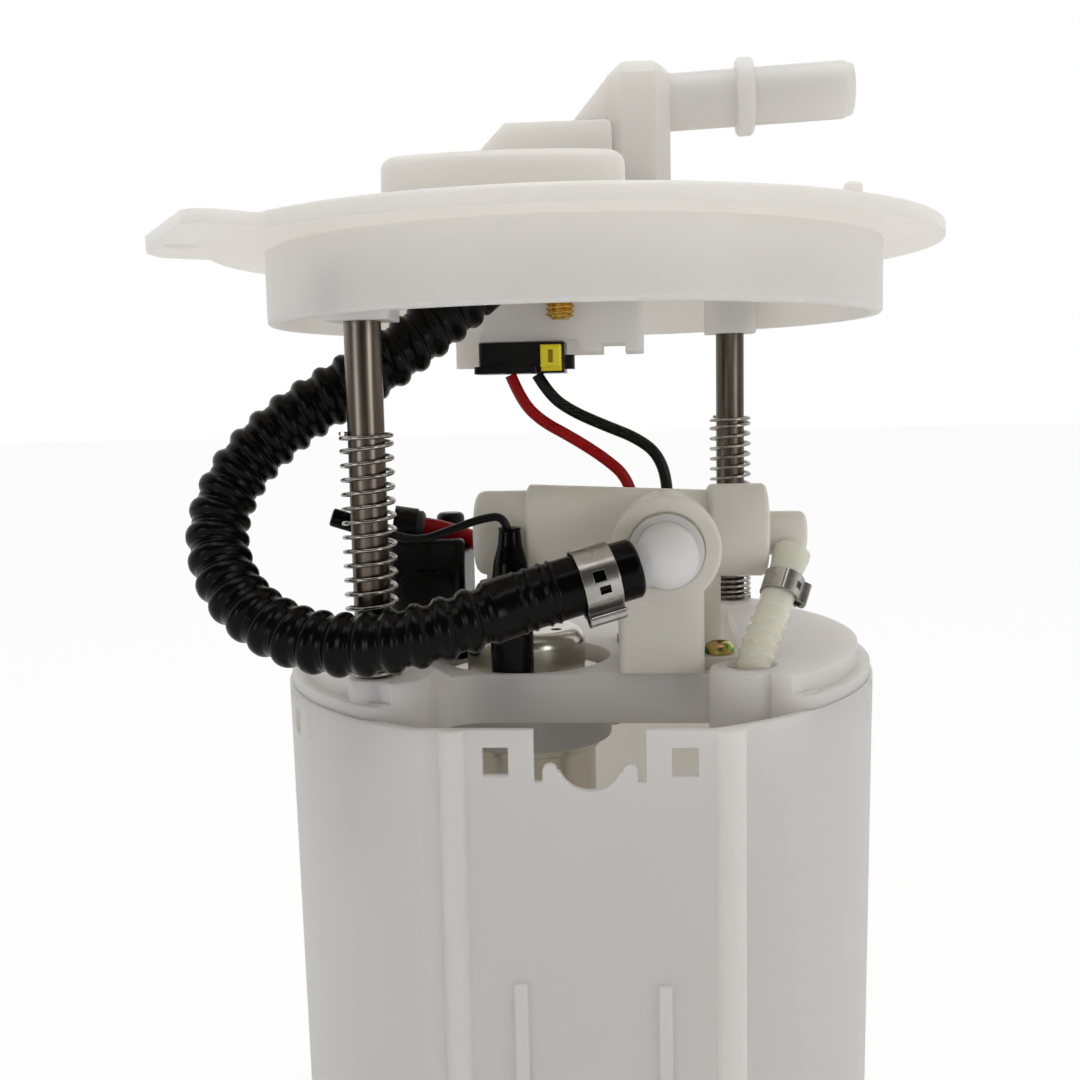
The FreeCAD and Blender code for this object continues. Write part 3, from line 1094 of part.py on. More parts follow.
def make_armature():
    """The motor's armature on its shaft, with the commutator above the windings."""
    low = PUMP_BOTTOM + PUMP_SHELL + 2.0
    core_z = PUMP_BOTTOM + 20.0
    high = PUMP_TOP - PUMP_SHELL - 2.3
    shaft = upright(SHAFT_RADIUS, PUMP_X, PUMP_Y, low, high)
    core = upright(ARMATURE_RADIUS, PUMP_X, PUMP_Y, core_z, core_z + ARMATURE_LENGTH)
    commutator = upright(5.0, PUMP_X, PUMP_Y, core_z + ARMATURE_LENGTH - 1, core_z + ARMATURE_LENGTH + 9)
    slots = []
    for number in range(8):
        slot = block(ARMATURE_RADIUS - 3, ARMATURE_RADIUS + 1, -0.8, 0.8, core_z - 1, core_z + ARMATURE_LENGTH + 1)
        slot.rotate(Vector(0, 0, 0), Z_AXIS, 45 * number)
        slot.translate(Vector(PUMP_X, PUMP_Y, 0))
        slots.append(slot)
    return joined([shaft, core.cut(slots), commutator])


def make_impeller():
    """A side-channel impeller: a disc whose rim is cut into vanes on both faces."""
    z = PUMP_BOTTOM + PUMP_SHELL + 4.0
    disc = upright(IMPELLER_RADIUS, PUMP_X, PUMP_Y, z + 0.1, z + IMPELLER_THICKNESS - 0.1)
    disc = disc.cut(upright(SHAFT_RADIUS + 0.02, PUMP_X, PUMP_Y, z - 1, z + 6))
    pockets = []
    for number in range(18):
        pocket = block(IMPELLER_RADIUS - 3, IMPELLER_RADIUS + 1, -0.9, 0.9, z - 1, z + 6)
        pocket.rotate(Vector(0, 0, 0), Z_AXIS, 20 * number)
        pocket.translate(Vector(PUMP_X, PUMP_Y, 0))
        pockets.append(pocket)
    return disc.cut(pockets)


def make_magnets():
    """Two curved magnets glued inside the can."""
    outer = PUMP_RADIUS - PUMP_SHELL - 0.02
    z = PUMP_BOTTOM + 18.0
    ring = upright(outer, PUMP_X, PUMP_Y, z, z + ARMATURE_LENGTH + 4)
    ring = ring.cut(upright(outer - MAGNET_THICKNESS, PUMP_X, PUMP_Y, z, z + ARMATURE_LENGTH + 4))
    gaps = block(PUMP_X - 20, PUMP_X + 20, PUMP_Y - 3, PUMP_Y + 3, z - 1, z + ARMATURE_LENGTH + 5)
    return ring.cut(gaps)


def make_coupler():
    """The rubber sleeve between the pump's nozzle and the housing's spigot."""
    sleeve = upright(SPIGOT_RADIUS + 1.6, SPIGOT_X, HOUSING_Y, COUPLER_BOTTOM, COUPLER_TOP)
    cuts = [upright(NOZZLE_RADIUS + 0.02, SPIGOT_X, HOUSING_Y, COUPLER_BOTTOM - 1, NOZZLE_TOP + 0.4),
            upright(SPIGOT_BORE, SPIGOT_X, HOUSING_Y, NOZZLE_TOP - 1, SPIGOT_BOTTOM + 1),
            upright(SPIGOT_RADIUS + 0.02, SPIGOT_X, HOUSING_Y, SPIGOT_BOTTOM - 0.1, COUPLER_TOP + 1)]
    return sleeve.cut(cuts)


def make_mount_ring():
    """The white ring around the pump, with three arms up to the cover."""
    ring = upright(RING_OUTER, PUMP_X, PUMP_Y, RING_TOP - 7, RING_TOP)
    ring = ring.cut(upright(PUMP_RADIUS + 1.2, PUMP_X, PUMP_Y, RING_TOP - 8, RING_TOP + 1))
    arms = []
    for angle in [20, 110, 165]:
        x = PUMP_X + (RING_OUTER + 1.0) * math.cos(math.radians(angle))
        y = PUMP_Y + (RING_OUTER + 1.0) * math.sin(math.radians(angle))
        arms.append(upright(2.0, x, y, RING_TOP - 7, RESERVOIR_HEIGHT))
    return joined([ring] + arms)


def make_pump_band():
    """The rolled steel band between the can and the ring."""
    band = upright(PUMP_RADIUS + 1.15, PUMP_X, PUMP_Y, RING_TOP - 9, RING_TOP + 1.5)
    bore = upright(PUMP_RADIUS + 0.02, PUMP_X, PUMP_Y, RING_TOP - 10, RING_TOP + 3)
    roll = Part.makeTorus(PUMP_RADIUS + 1.3, 1.2, Vector(PUMP_X, PUMP_Y, RING_TOP + 1.4))
    return joined([band, roll]).cut(bore)


def make_cradle():
    """The rubber cup under the pump, on three legs that stand on the reservoir's floor."""
    floor = FOOT_HEIGHT + FLOOR_THICKNESS
    cup = upright(PUMP_RADIUS + 2.6, PUMP_X, PUMP_Y, PUMP_BOTTOM - 3, PUMP_BOTTOM + 12)
    cup = cup.cut([upright(PUMP_RADIUS + 0.02, PUMP_X, PUMP_Y, PUMP_BOTTOM, PUMP_BOTTOM + 13),
                   upright(PUMP_RADIUS - 2.98, PUMP_X, PUMP_Y, PUMP_BOTTOM - 4, PUMP_BOTTOM + 1)])
    legs = []
    for number in range(3):
        angle = math.radians(60 + 120 * number)
        x = PUMP_X + (PUMP_RADIUS + 0.2) * math.cos(angle)
        y = PUMP_Y + (PUMP_RADIUS + 0.2) * math.sin(angle)
        legs.append(upright(2.2, x, y, floor, PUMP_BOTTOM - 2))
    return joined([cup] + legs)


def make_strainer():
    """The flat sock at the pump's inlet, with the spout's collar on top."""
    floor = FOOT_HEIGHT + FLOOR_THICKNESS
    sock = rounded_block(PUMP_X - 4, PUMP_X + 24, PUMP_Y - 8, PUMP_Y + 8, floor + 3, floor + 11, 5.0)
    sock = sock.makeFillet(2.4, [edge for edge in sock.Edges if edge.BoundBox.ZLength < 0.1])
    collar = upright(5.6, PUMP_X + 6, PUMP_Y, floor + 10, PUMP_BOTTOM - 6)
    sock = joined([sock, collar])
    return sock.cut(upright(4.02, PUMP_X + 6, PUMP_Y, PUMP_BOTTOM - 12, PUMP_BOTTOM))


def make_jet_pump():
    """The jet pump on the floor: a mixing tube, a nozzle block and the stub for the return hose."""
    floor = FOOT_HEIGHT + FLOOR_THICKNESS
    x = RETURN_ROUTE[-1][0]
    y = RETURN_ROUTE[-1][1]
    body = rounded_block(x - 7, x + 7, y - 7, y + 7, floor, floor + 11, 2.0)
    tube = cylinder(5.0, Vector(x, y, floor + 5.2), Y_AXIS, 52.0)
    foot = block(x - 5, x + 5, y + 34, y + 40, floor, floor + 4)
    stub = upright(RETURN_HOSE_BORE - 0.05, x, y, floor + 10, RETURN_ROUTE[-1][2] + 5)
    jet = joined([body, tube, foot, stub])
    cuts = [cylinder(3.4, Vector(x, y + 5, floor + 5.2), Y_AXIS, 50.0),
            cylinder(1.0, Vector(x, y - 1, floor + 5.2), Y_AXIS, 10.0),
            upright(1.5, x, y, floor + 5, RETURN_ROUTE[-1][2] + 9)]
    return jet.cut(cuts)


def make_inlet_valve():
    """The umbrella valve over the inlet in the floor, on its button."""
    floor = FOOT_HEIGHT + FLOOR_THICKNESS
    profile = [(0, -FLOOR_THICKNESS - 1.4), (2.6, -FLOOR_THICKNESS - 1.4), (1.5, -FLOOR_THICKNESS), (1.5, 0.4),
               (INLET_RADIUS + 1.6, 0.05), (INLET_RADIUS + 1.6, 0.9), (2.6, 2.2), (0, 2.4)]
    return turned(profile, Vector(INLET_X, INLET_Y, floor), Z_AXIS)


def make_inlet_spider():
    """The spoked ring in the floor's inlet that holds the umbrella valve's button."""
    floor = FOOT_HEIGHT + FLOOR_THICKNESS
    ring = upright(INLET_RADIUS - 0.02, INLET_X, INLET_Y, FOOT_HEIGHT + 0.5, floor - 0.1)
    ring = ring.cut(upright(INLET_RADIUS - 1.2, INLET_X, INLET_Y, FOOT_HEIGHT, floor))
    hub = upright(2.8, INLET_X, INLET_Y, FOOT_HEIGHT + 0.5, floor - 0.1)
    spokes = []
    for number in range(4):
        spoke = block(2.2, INLET_RADIUS - 0.6, -0.6, 0.6, FOOT_HEIGHT + 0.5, floor - 0.1)
        spoke.rotate(Vector(0, 0, 0), Z_AXIS, 90 * number)
        spoke.translate(Vector(INLET_X, INLET_Y, 0))
        spokes.append(spoke)
    spider = joined([ring, hub] + spokes)
    button_room = Part.makeCone(2.7, 1.5, 1.2, Vector(INLET_X, INLET_Y, FOOT_HEIGHT - 0.6))
    return spider.cut([upright(1.55, INLET_X, INLET_Y, 0, floor), button_room])


# Terminal boot, lead connector and wires

def make_boot():
    """The rubber boot over the pump's terminal: a round column, a flared skirt and a slim neck."""
    height = BOOT_TOP - BOOT_BASE
    profile = [(0, 0), (BOOT_RADIUS, 0), (BOOT_RADIUS, height - 12.0), (3.7, height - 9.6), (3.5, height - 7.2),
               (BOOT_NECK_RADIUS + 0.3, height - 3.6), (BOOT_NECK_RADIUS, height - 0.8),
               (BOOT_NECK_RADIUS + 0.1, height), (0, height)]
    boot = turned(profile, Vector(BOOT_X, BOOT_Y, BOOT_BASE), Z_AXIS)
    step = Vector(HOUSING_STEP_X - 0.1, HOUSING_Y, HOUSING_Z)
    return boot.cut([upright(POST_RADIUS + 0.05, BOOT_X, BOOT_Y, BOOT_BASE - 1, BOOT_BASE + 20),
                     upright(EARTH_WIRE_RADIUS + 0.15, BOOT_X, BOOT_Y, EARTH_WIRE_ROUTE[0][2] - 0.1, BOOT_TOP + 1),
                     upright(PUMP_RADIUS + 0.05, PUMP_X, PUMP_Y, BOOT_BASE - 1, PUMP_TOP + 0.1),
                     cylinder(HOUSING_LEFT_RADIUS + 0.1, Vector(HOUSING_LEFT_X, HOUSING_Y, HOUSING_Z), X_AXIS, 20),
                     cylinder(HOUSING_WIDE_RADIUS + 0.1, step, X_AXIS, 9)])


def make_terminal_post():
    """The pump's terminal: a tab against the can and a pin up into the boot."""
    plate = block(BOOT_X - 3.4, BOOT_X + 3.4, BOOT_Y - 3.2, PUMP_Y - PUMP_RADIUS + 1.5,
                  BOOT_BASE - 1.3, BOOT_BASE - 0.02)
    plate = plate.cut(upright(PUMP_RADIUS + 0.02, PUMP_X, PUMP_Y, BOOT_BASE - 3, BOOT_BASE + 1))
    pin = upright(POST_RADIUS, BOOT_X, BOOT_Y, BOOT_BASE - 0.5, BOOT_BASE + 19)
    return joined([plate, pin])


def make_connector():
    """The black connector for the pump's leads, with a raised rounded panel and a round knob."""
    body = rounded_block(CONNECTOR_LEFT_X, CONNECTOR_RIGHT_X, CONNECTOR_FRONT_Y, CONNECTOR_BACK_Y, COVER_TOP,
                         CONNECTOR_TOP, 2.0)
    body = body.makeFillet(1.2, [edge for edge in body.Edges if edge.BoundBox.ZMin > CONNECTOR_TOP - 0.1])
    panel = rounded_block(0, 11.0, 0, 14.0, 0, 1.2, 2.6)
    panel.rotate(Vector(0, 0, 0), X_AXIS, 90)
    panel.translate(Vector(CONNECTOR_LEFT_X + 3, CONNECTOR_FRONT_Y + 0.2, COVER_TOP + 5))
    knob_top = CONNECTOR_TOP + KNOB_HEIGHT
    knob = upright(KNOB_RADIUS, -28.4, 0.2, CONNECTOR_TOP - 3, knob_top)
    knob = knob.makeFillet(1.2, [edge for edge in knob.Edges if edge.BoundBox.ZMin > knob_top - 0.1])
    way = lead_way()
    start = Vector(*RED_LEAD_ROUTE[0])
    boss = cylinder(3.7, start - way * 3.0, way, 5.0)
    ledge = block(-35.8, CONNECTOR_RIGHT_X + 1, -13.0, -3.2, CONNECTOR_TOP - 2.6, CONNECTOR_TOP + 8)
    pump_room = upright(DOME_RADIUS + 0.8, PUMP_X, PUMP_Y, COVER_TOP - 1, DOME_TOP + 0.8)
    connector = joined([body.cut(ledge), panel, knob, boss])
    return connector.cut([cylinder(2.75, start - way * 1.6, way, 5.0), pump_room])


def lead_way():
    return (Vector(*RED_LEAD_ROUTE[1]) - Vector(*RED_LEAD_ROUTE[0])).normalize()


def make_grommet():
    """The rubber grommet where the lead leaves the connector."""
    start = Vector(*RED_LEAD_ROUTE[0])
    profile = [(0, 0), (2.7, 0), (2.7, 3.55), (3.3, 3.55), (3.3, 4.6), (2.6, 5.2), (0, 5.2)]
    grommet = turned(profile, start - lead_way() * 1.5, lead_way())
    return grommet.cut(cylinder(RED_LEAD_RADIUS + 0.02, start, lead_way(), 5.0))


def make_gland():
    """The rubber gland in the cover where the leads go down to the pump."""
    profile = [(0, -COVER_THICKNESS - 1.2), (GLAND_RADIUS, -COVER_THICKNESS - 1.2),
               (GLAND_RADIUS, -COVER_THICKNESS - 0.02),
               (GLAND_RADIUS - 1.02, -COVER_THICKNESS - 0.02), (GLAND_RADIUS - 1.02, 0.02), (GLAND_RADIUS, 0.02),
               (GLAND_RADIUS, 1.4), (GLAND_RADIUS - 0.8, 2.3), (0, 2.3)]
    return turned(profile, Vector(GLAND_X, GLAND_Y, COVER_TOP), Z_AXIS)


def make_wire_sleeve():
    """The closed sleeve on the free end of the earth wire."""
    last = Vector(*EARTH_WIRE_ROUTE[-1])
    way = (last - Vector(*EARTH_WIRE_ROUTE[-2])).normalize()
    sleeve = cylinder(1.85, last - way * 3.0, way, 9.0)
    sleeve = sleeve.makeFillet(0.5, [edge for edge in sleeve.Edges if edge.Length > 5 and len(edge.Vertexes) == 1])
    return sleeve.cut(cylinder(EARTH_WIRE_RADIUS + 0.02, last - way * 4.0, way, 4.0))


PARTS = {
    "reservoir": make_reservoir, "reservoir_cover": make_cover, "flange": make_flange,
    "outlet_elbow": make_outlet_elbow, "socket_terminals": make_terminals, "earth_stud": make_stud,
    "inner_plug": make_plug, "plug_lock": make_lock, "rod_retaining_rings": make_rings,
    "valve_housing": make_housing, "check_valve_poppet": make_poppet, "check_valve_spring": make_valve_spring,
    "spring_retainer": make_retainer, "pressure_regulator": make_regulator, "regulator_cap": make_regulator_cap,
    "cover_screw": make_cover_screw, "feed_elbow": make_feed_elbow, "elbow_seal": make_elbow_seal,
    "feed_hose": make_feed_hose, "lower_hose_clamp": make_lower_clamp,
    "return_hose": make_return_hose, "return_hose_clamp": make_return_clamp, "pump_can": make_pump_can,
    "pump_top_cap": make_pump_top, "pump_inlet_cap": make_pump_bottom, "pump_armature": make_armature,
    "pump_impeller": make_impeller, "pump_magnets": make_magnets, "outlet_coupler": make_coupler,
    "pump_mount_ring": make_mount_ring, "pump_band": make_pump_band, "pump_cradle": make_cradle,
    "inlet_strainer": make_strainer, "jet_pump": make_jet_pump, "inlet_valve": make_inlet_valve,
    "inlet_spider": make_inlet_spider, "terminal_boot": make_boot, "terminal_post": make_terminal_post,
    "lead_connector": make_connector, "lead_grommet": make_grommet, "wire_gland": make_gland,
    "earth_wire_sleeve": make_wire_sleeve,
}

for part_name, maker in PARTS.items():
    save(maker(), part_name)

for rod_name, side in [("front", -1), ("rear", 1)]:
    save(make_rod(side), rod_name + "_guide_rod")
    save(make_spring(side), rod_name + "_spring")

save(swept(RED_WIRE_ROUTE, WIRE_RADIUS, 0, "red_wire"), "red_wire")
save(swept(BLACK_WIRE_ROUTE, WIRE_RADIUS, 0, "black_wire"), "black_wire")
save(swept(EARTH_WIRE_ROUTE, EARTH_WIRE_RADIUS, 0, "earth_wire"), "earth_wire")
save(swept(RED_LEAD_ROUTE, RED_LEAD_RADIUS, 0, "red_lead"), "red_lead")
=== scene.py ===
# %% Load the frame
import json
import math

import bpy
import numpy as np
from mathutils import Matrix, Vector

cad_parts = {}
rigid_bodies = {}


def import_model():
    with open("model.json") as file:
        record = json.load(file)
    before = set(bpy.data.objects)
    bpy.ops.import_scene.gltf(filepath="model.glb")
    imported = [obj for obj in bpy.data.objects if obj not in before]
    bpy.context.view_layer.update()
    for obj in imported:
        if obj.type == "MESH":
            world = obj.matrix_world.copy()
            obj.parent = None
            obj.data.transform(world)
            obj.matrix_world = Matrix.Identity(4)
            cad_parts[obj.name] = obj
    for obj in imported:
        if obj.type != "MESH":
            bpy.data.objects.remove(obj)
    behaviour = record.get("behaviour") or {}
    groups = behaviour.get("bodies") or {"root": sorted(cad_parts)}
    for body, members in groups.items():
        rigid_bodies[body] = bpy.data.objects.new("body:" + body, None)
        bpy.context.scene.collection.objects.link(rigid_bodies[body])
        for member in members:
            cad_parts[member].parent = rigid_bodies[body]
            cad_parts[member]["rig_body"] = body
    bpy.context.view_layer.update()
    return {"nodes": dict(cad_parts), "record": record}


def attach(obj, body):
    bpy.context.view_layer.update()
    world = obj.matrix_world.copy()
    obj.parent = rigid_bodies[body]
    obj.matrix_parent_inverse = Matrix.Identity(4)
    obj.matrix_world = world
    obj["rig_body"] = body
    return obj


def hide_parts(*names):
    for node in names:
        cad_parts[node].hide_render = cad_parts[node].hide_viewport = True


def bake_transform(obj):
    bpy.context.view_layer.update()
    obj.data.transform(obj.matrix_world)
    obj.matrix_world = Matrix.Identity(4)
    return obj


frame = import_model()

nodes = frame["nodes"]
MM = 0.001

# %% [markdown]
# ## A fuel pump module
# This module hangs in a car's fuel tank. A flange closes the tank's hole and carries the fuel outlet, and
# two steel rods with springs press the reservoir below it against the tank's floor. A ribbed hose takes
# the fuel from the valve housing on the reservoir's cover up to the flange.
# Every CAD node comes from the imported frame, at its place, in metres. The cells below give each node a
# finish, and they make again the pieces whose real surface a plain solid can't show: the ribbed hose, the
# wound springs, the leads, the ear clamps, the threads and the screw's cross.

# %% Which body and which finish each node has
body_of = {node: obj["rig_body"] for node, obj in nodes.items()}
slot_of = {part["node"]: part["material_slot"] for part in frame["record"]["subparts"]}
print(len(nodes), "nodes on", len(set(body_of.values())), "bodies,", len(set(slot_of.values())), "finishes")

# %% [markdown]
# ## A grid of points becomes a surface
# Most of the pieces are round things that follow a line, so one helper serves them all. It takes rings of
# points, one ring after another, joins neighbours into four-sided faces, and closes both ends with a fan
# of triangles. The faces could be added one by one with bmesh, but numbering all the corners at once as
# an array is shorter and fast, and the order of the corners makes every face look outwards.

# %% Surfaces from grids
def make_object(name, points, faces, slot, body=None):
    """A mesh object at the origin from an array of points and a list of faces."""
    mesh = bpy.data.meshes.new(name)
    mesh.from_pydata(points, [], faces)
    mesh.validate()
    mesh.shade_smooth()
    obj = bpy.data.objects.new(name, mesh)
    bpy.context.scene.collection.objects.link(obj)
    mesh.materials.append(finish_of(slot))
    if body:
        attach(obj, body)
    return obj


def round_surface(name, grid, slot, body=None, sharp=40):
    """Rings of points (ring, side, xyz), joined ring to ring and side to side, with a fan over each end."""
    rings, sides = grid.shape[:2]
    number = np.arange(rings * sides).reshape(rings, sides)
    beside = np.roll(number, -1, axis=1)
    quads = np.stack([number[:-1], beside[:-1], beside[1:], number[1:]], axis=-1).reshape(-1, 4)
    middles = np.stack([grid[0].mean(axis=0), grid[-1].mean(axis=0)])
    first, last = rings * sides, rings * sides + 1
    start_fan = np.stack([np.full(sides, first), beside[0], number[0]], axis=-1)
    end_fan = np.stack([np.full(sides, last), number[-1], beside[-1]], axis=-1)
    points = np.vstack([grid.reshape(-1, 3), middles]) * MM
    obj = make_object(name, points, quads.tolist() + start_fan.tolist() + end_fan.tolist(), slot, body)
    obj.data.set_sharp_from_angle(angle=math.radians(sharp))
    return obj


# %% [markdown]
# ## Lines for hoses and leads
# A hose or lead bends in one smooth curve. Its route is a handful of points, and Blender's own NURBS
# spline of order three rounds them: it runs straight out of each end and touches the middle of each leg.
# The spline is read back as points and then spread evenly, because a ribbed hose needs its rings at equal
# steps along the line, and not bunched in the bends.

# %% Reading a route's spline
def route_line(name, route, spacing):
    """Points at equal steps along the NURBS spline whose control points are the route's points."""
    curve = bpy.data.curves.new(name + "_route", "CURVE")
    curve.dimensions = "3D"
    spline = curve.splines.new("NURBS")
    spline.points.add(len(route) - 1)
    control = np.hstack([np.array(route, float), np.ones((len(route), 1))])
    spline.points.foreach_set("co", control.ravel())
    spline.order_u = 3
    spline.use_endpoint_u = True
    spline.resolution_u = 24
    holder = bpy.data.objects.new(name + "_route", curve)
    sampled = bpy.data.meshes.new_from_object(holder)
    dense = np.zeros(len(sampled.vertices) * 3)
    sampled.vertices.foreach_get("co", dense)
    bpy.data.objects.remove(holder)
    dense = dense.reshape(-1, 3)
    steps = np.linalg.norm(np.diff(dense, axis=0), axis=1)
    along = np.concatenate([[0], np.cumsum(steps)])
    count = max(8, int(round(along[-1] / spacing)) + 1)
    even = np.linspace(0, along[-1], count)
    line = np.stack([np.interp(even, along, dense[:, axis]) for axis in range(3)], axis=1)
    print(name, "is", round(along[-1], 1), "mm long,", count, "stations")
    return even, line


def ring_frame(line, reference):
    """At each point of a line: its direction, a side direction kept near to reference, and the third one."""
    way = np.gradient(line, axis=0)
    way /= np.linalg.norm(way, axis=1, keepdims=True)
    side = reference - (way @ reference)[:, None] * way
    side /= np.linalg.norm(side, axis=1, keepdims=True)
    return way, side, np.cross(way, side)


def tube_grid(line, reference, radius, sides):
    """Rings round a line: centre + radius * (cos angle * side + sin angle * third).

    The radius is one number, one for each ring, or an array with one for each ring and side.
    """
    way, side, third = ring_frame(line, np.array(reference, float))
    angle = np.linspace(0, 2 * np.pi, sides, endpoint=False)
    spread = np.cos(angle)[None, :, None] * side[:, None] + np.sin(angle)[None, :, None] * third[:, None]
    radius = np.asarray(radius, float)
    if radius.ndim < 2:
        radius = radius.reshape(-1, 1)
    return line[:, None] + radius[:, :, None] * spread


def soft_step(value, start, end):
    """0 before start, 1 after end, and a smooth S between them."""
    t = np.clip((value - start) / (end - start), 0, 1)
    return t * t * (3 - 2 * t)


# %% [markdown]
# ## Finishes
# Each finish is a small node tree on one Principled shader. Constants sit on the shader's own sockets. What
# varies over a surface comes from noise that reads Object coordinates, so it stays put on the piece when
# the module moves, whatever the view. Moulded plastics also get a Bevel node: it rounds the normals near
# an edge, as a real mould rounds its corners, without any more faces.

# %% A helper for node trees
finishes = {}


def base_finish(slot, colour, roughness, metallic=0.0, **sockets):
    """A material with one Principled shader; named sockets are set as constants."""
    material = bpy.data.materials.new(slot)
    material.use_nodes = True
    tree = material.node_tree
    shader = tree.nodes["Principled BSDF"]
    shader.inputs["Base Color"].default_value = (*colour, 1)
    shader.inputs["Roughness"].default_value = roughness
    shader.inputs["Metallic"].default_value = metallic
    for socket, value in sockets.items():
        shader.inputs[socket.replace("_", " ")].default_value = value
    finishes[slot] = material
    return tree, shader


def finish_of(slot):
    """The material that was made for a slot."""
    return finishes[slot]


def stretched_noise(tree, scale, stretch=(1, 1, 1), detail=3.0):
    """Noise over Object coordinates; stretch above 1 squeezes the pattern along that axis."""
    coordinates = tree.nodes.new("ShaderNodeTexCoord")
    mapping = tree.nodes.new("ShaderNodeMapping")
    mapping.inputs["Scale"].default_value = stretch
    noise = tree.nodes.new("ShaderNodeTexNoise")
    noise.inputs["Scale"].default_value = scale
    noise.inputs["Detail"].default_value = detail
    tree.links.new(coordinates.outputs["Object"], mapping.inputs["Vector"])
    tree.links.new(mapping.outputs["Vector"], noise.inputs["Vector"])
    return noise.outputs["Fac"]


def tint(tree, shader, factor, stops):
    """Colour by a ramp of (place, colour) stops along a factor."""
    ramp = tree.nodes.new("ShaderNodeValToRGB")
    while len(ramp.color_ramp.elements) < len(stops):
        ramp.color_ramp.elements.new(0.5)
    for element, (place, colour) in zip(ramp.color_ramp.elements, stops):
        element.position = place
        element.color = (*colour, 1)
    tree.links.new(factor, ramp.inputs["Fac"])
    tree.links.new(ramp.outputs["Color"], shader.inputs["Base Color"])


def vary_roughness(tree, shader, factor, low, high):
    """Roughness between low and high along a factor."""
    spread = tree.nodes.new("ShaderNodeMapRange")
    spread.inputs["To Min"].default_value = low
    spread.inputs["To Max"].default_value = high
    tree.links.new(factor, spread.inputs["Value"])
    tree.links.new(spread.outputs["Result"], shader.inputs["Roughness"])


def relief(tree, shader, factor, depth, strength=1.0, edge=0.0):
    """Bump of a given depth in metres, on normals that are rounded within edge of each corner."""
    bump = tree.nodes.new("ShaderNodeBump")
    bump.inputs["Strength"].default_value = strength
    bump.inputs["Distance"].default_value = depth
    tree.links.new(factor, bump.inputs["Height"])
    if edge:
        bevel = tree.nodes.new("ShaderNodeBevel")
        bevel.samples = 4
        bevel.inputs["Radius"].default_value = edge
        tree.links.new(bevel.outputs["Normal"], bump.inputs["Normal"])
    tree.links.new(bump.outputs["Normal"], shader.inputs["Normal"])


# %% [markdown]
# ### Moulded plastics
# Natural acetal is white but never paper-white: light goes a little way into it, so thin edges glow and
# shadows stay soft. That is subsurface scattering. The housing is an older, warmer batch, and the elbow
# and the outlet are nylon, which is a little more neutral. A share of translucent shader lets the bright
# backdrop show through thin walls, so the inside of the reservoir is light, as it is in the photograph.
# Very faint clouds in the colour and a fine bump keep the big walls from looking like paint.

# %% Natural acetal, ivory acetal and white nylon
def moulded(slot, light, shaded, roughness, glow, depth, passed, share):
    """Scattering plastic, of which a share lets light of the passed colour through a thin wall.

    glow is how much of the light scatters inside, and depth how many metres it goes.
    """
    tree, shader = base_finish(slot, light, roughness, Subsurface_Weight=glow, Subsurface_Scale=depth,
                               Subsurface_Radius=(1.0, 0.9, 0.75), IOR=1.48, Specular_IOR_Level=0.4)
    clouds = stretched_noise(tree, 45.0, (1, 1, 0.35), 4.0)
    tint(tree, shader, clouds, [(0.3, shaded), (0.7, light)])
    vary_roughness(tree, shader, stretched_noise(tree, 160.0), roughness - 0.06, roughness + 0.08)
    relief(tree, shader, stretched_noise(tree, 900.0, detail=2.0), 0.00001, 0.25, edge=0.0004)
    through = tree.nodes.new("ShaderNodeBsdfTranslucent")
    through.inputs["Color"].default_value = (*passed, 1)
    both = tree.nodes.new("ShaderNodeMixShader")
    both.inputs["Fac"].default_value = share
    tree.links.new(shader.outputs[0], both.inputs[1])
    tree.links.new(through.outputs[0], both.inputs[2])
    tree.links.new(both.outputs[0], tree.nodes["Material Output"].inputs["Surface"])


moulded("natural_acetal", light=(0.88, 0.86, 0.825), shaded=(0.865, 0.845, 0.805), roughness=0.38,
        glow=0.8, depth=0.008, passed=(0.97, 0.95, 0.92), share=0.30)
moulded("ivory_acetal", light=(0.96, 0.93, 0.855), shaded=(0.95, 0.915, 0.83), roughness=0.36,
        glow=0.3, depth=0.004, passed=(0.98, 0.96, 0.90), share=0.25)
moulded("white_nylon", light=(0.91, 0.895, 0.87), shaded=(0.895, 0.88, 0.85), roughness=0.32,
        glow=0.8, depth=0.008, passed=(0.97, 0.96, 0.95), share=0.30)
print("moulded finishes:", list(finishes))

# %% [markdown]
# ### Clear hose, rubber and black plastics
# The return hose is a clear polyamide gone slightly yellow. It scatters light and lets some through. The
# feed hose and the boots are black: almost no colour, so gloss does all the work. A low roughness with a
# slightly uneven surface gives the small sharp lights on the ribs.

# %% Hose, rubber and plastic finishes
tree, shader = base_finish("clear_polyamide", (0.86, 0.86, 0.72), 0.22, Subsurface_Weight=0.6,
                           Subsurface_Scale=0.004, Subsurface_Radius=(1.0, 0.95, 0.7),
                           Transmission_Weight=0.12, IOR=1.5, Coat_Weight=0.2)
tint(tree, shader, stretched_noise(tree, 120.0), [(0.35, (0.84, 0.83, 0.68)), (0.7, (0.88, 0.88, 0.76))])
relief(tree, shader, stretched_noise(tree, 500.0), 0.00001, 0.3)

tree, shader = base_finish("black_elastomer", (0.003, 0.003, 0.0034), 0.2, Specular_IOR_Level=0.1)
tint(tree, shader, stretched_noise(tree, 80.0, detail=5.0),
     [(0.3, (0.0018, 0.0018, 0.0021)), (0.75, (0.0035, 0.0035, 0.004))])
vary_roughness(tree, shader, stretched_noise(tree, 300.0, detail=4.0), 0.18, 0.26)
relief(tree, shader, stretched_noise(tree, 600.0, detail=3.0), 0.000008, 0.3)

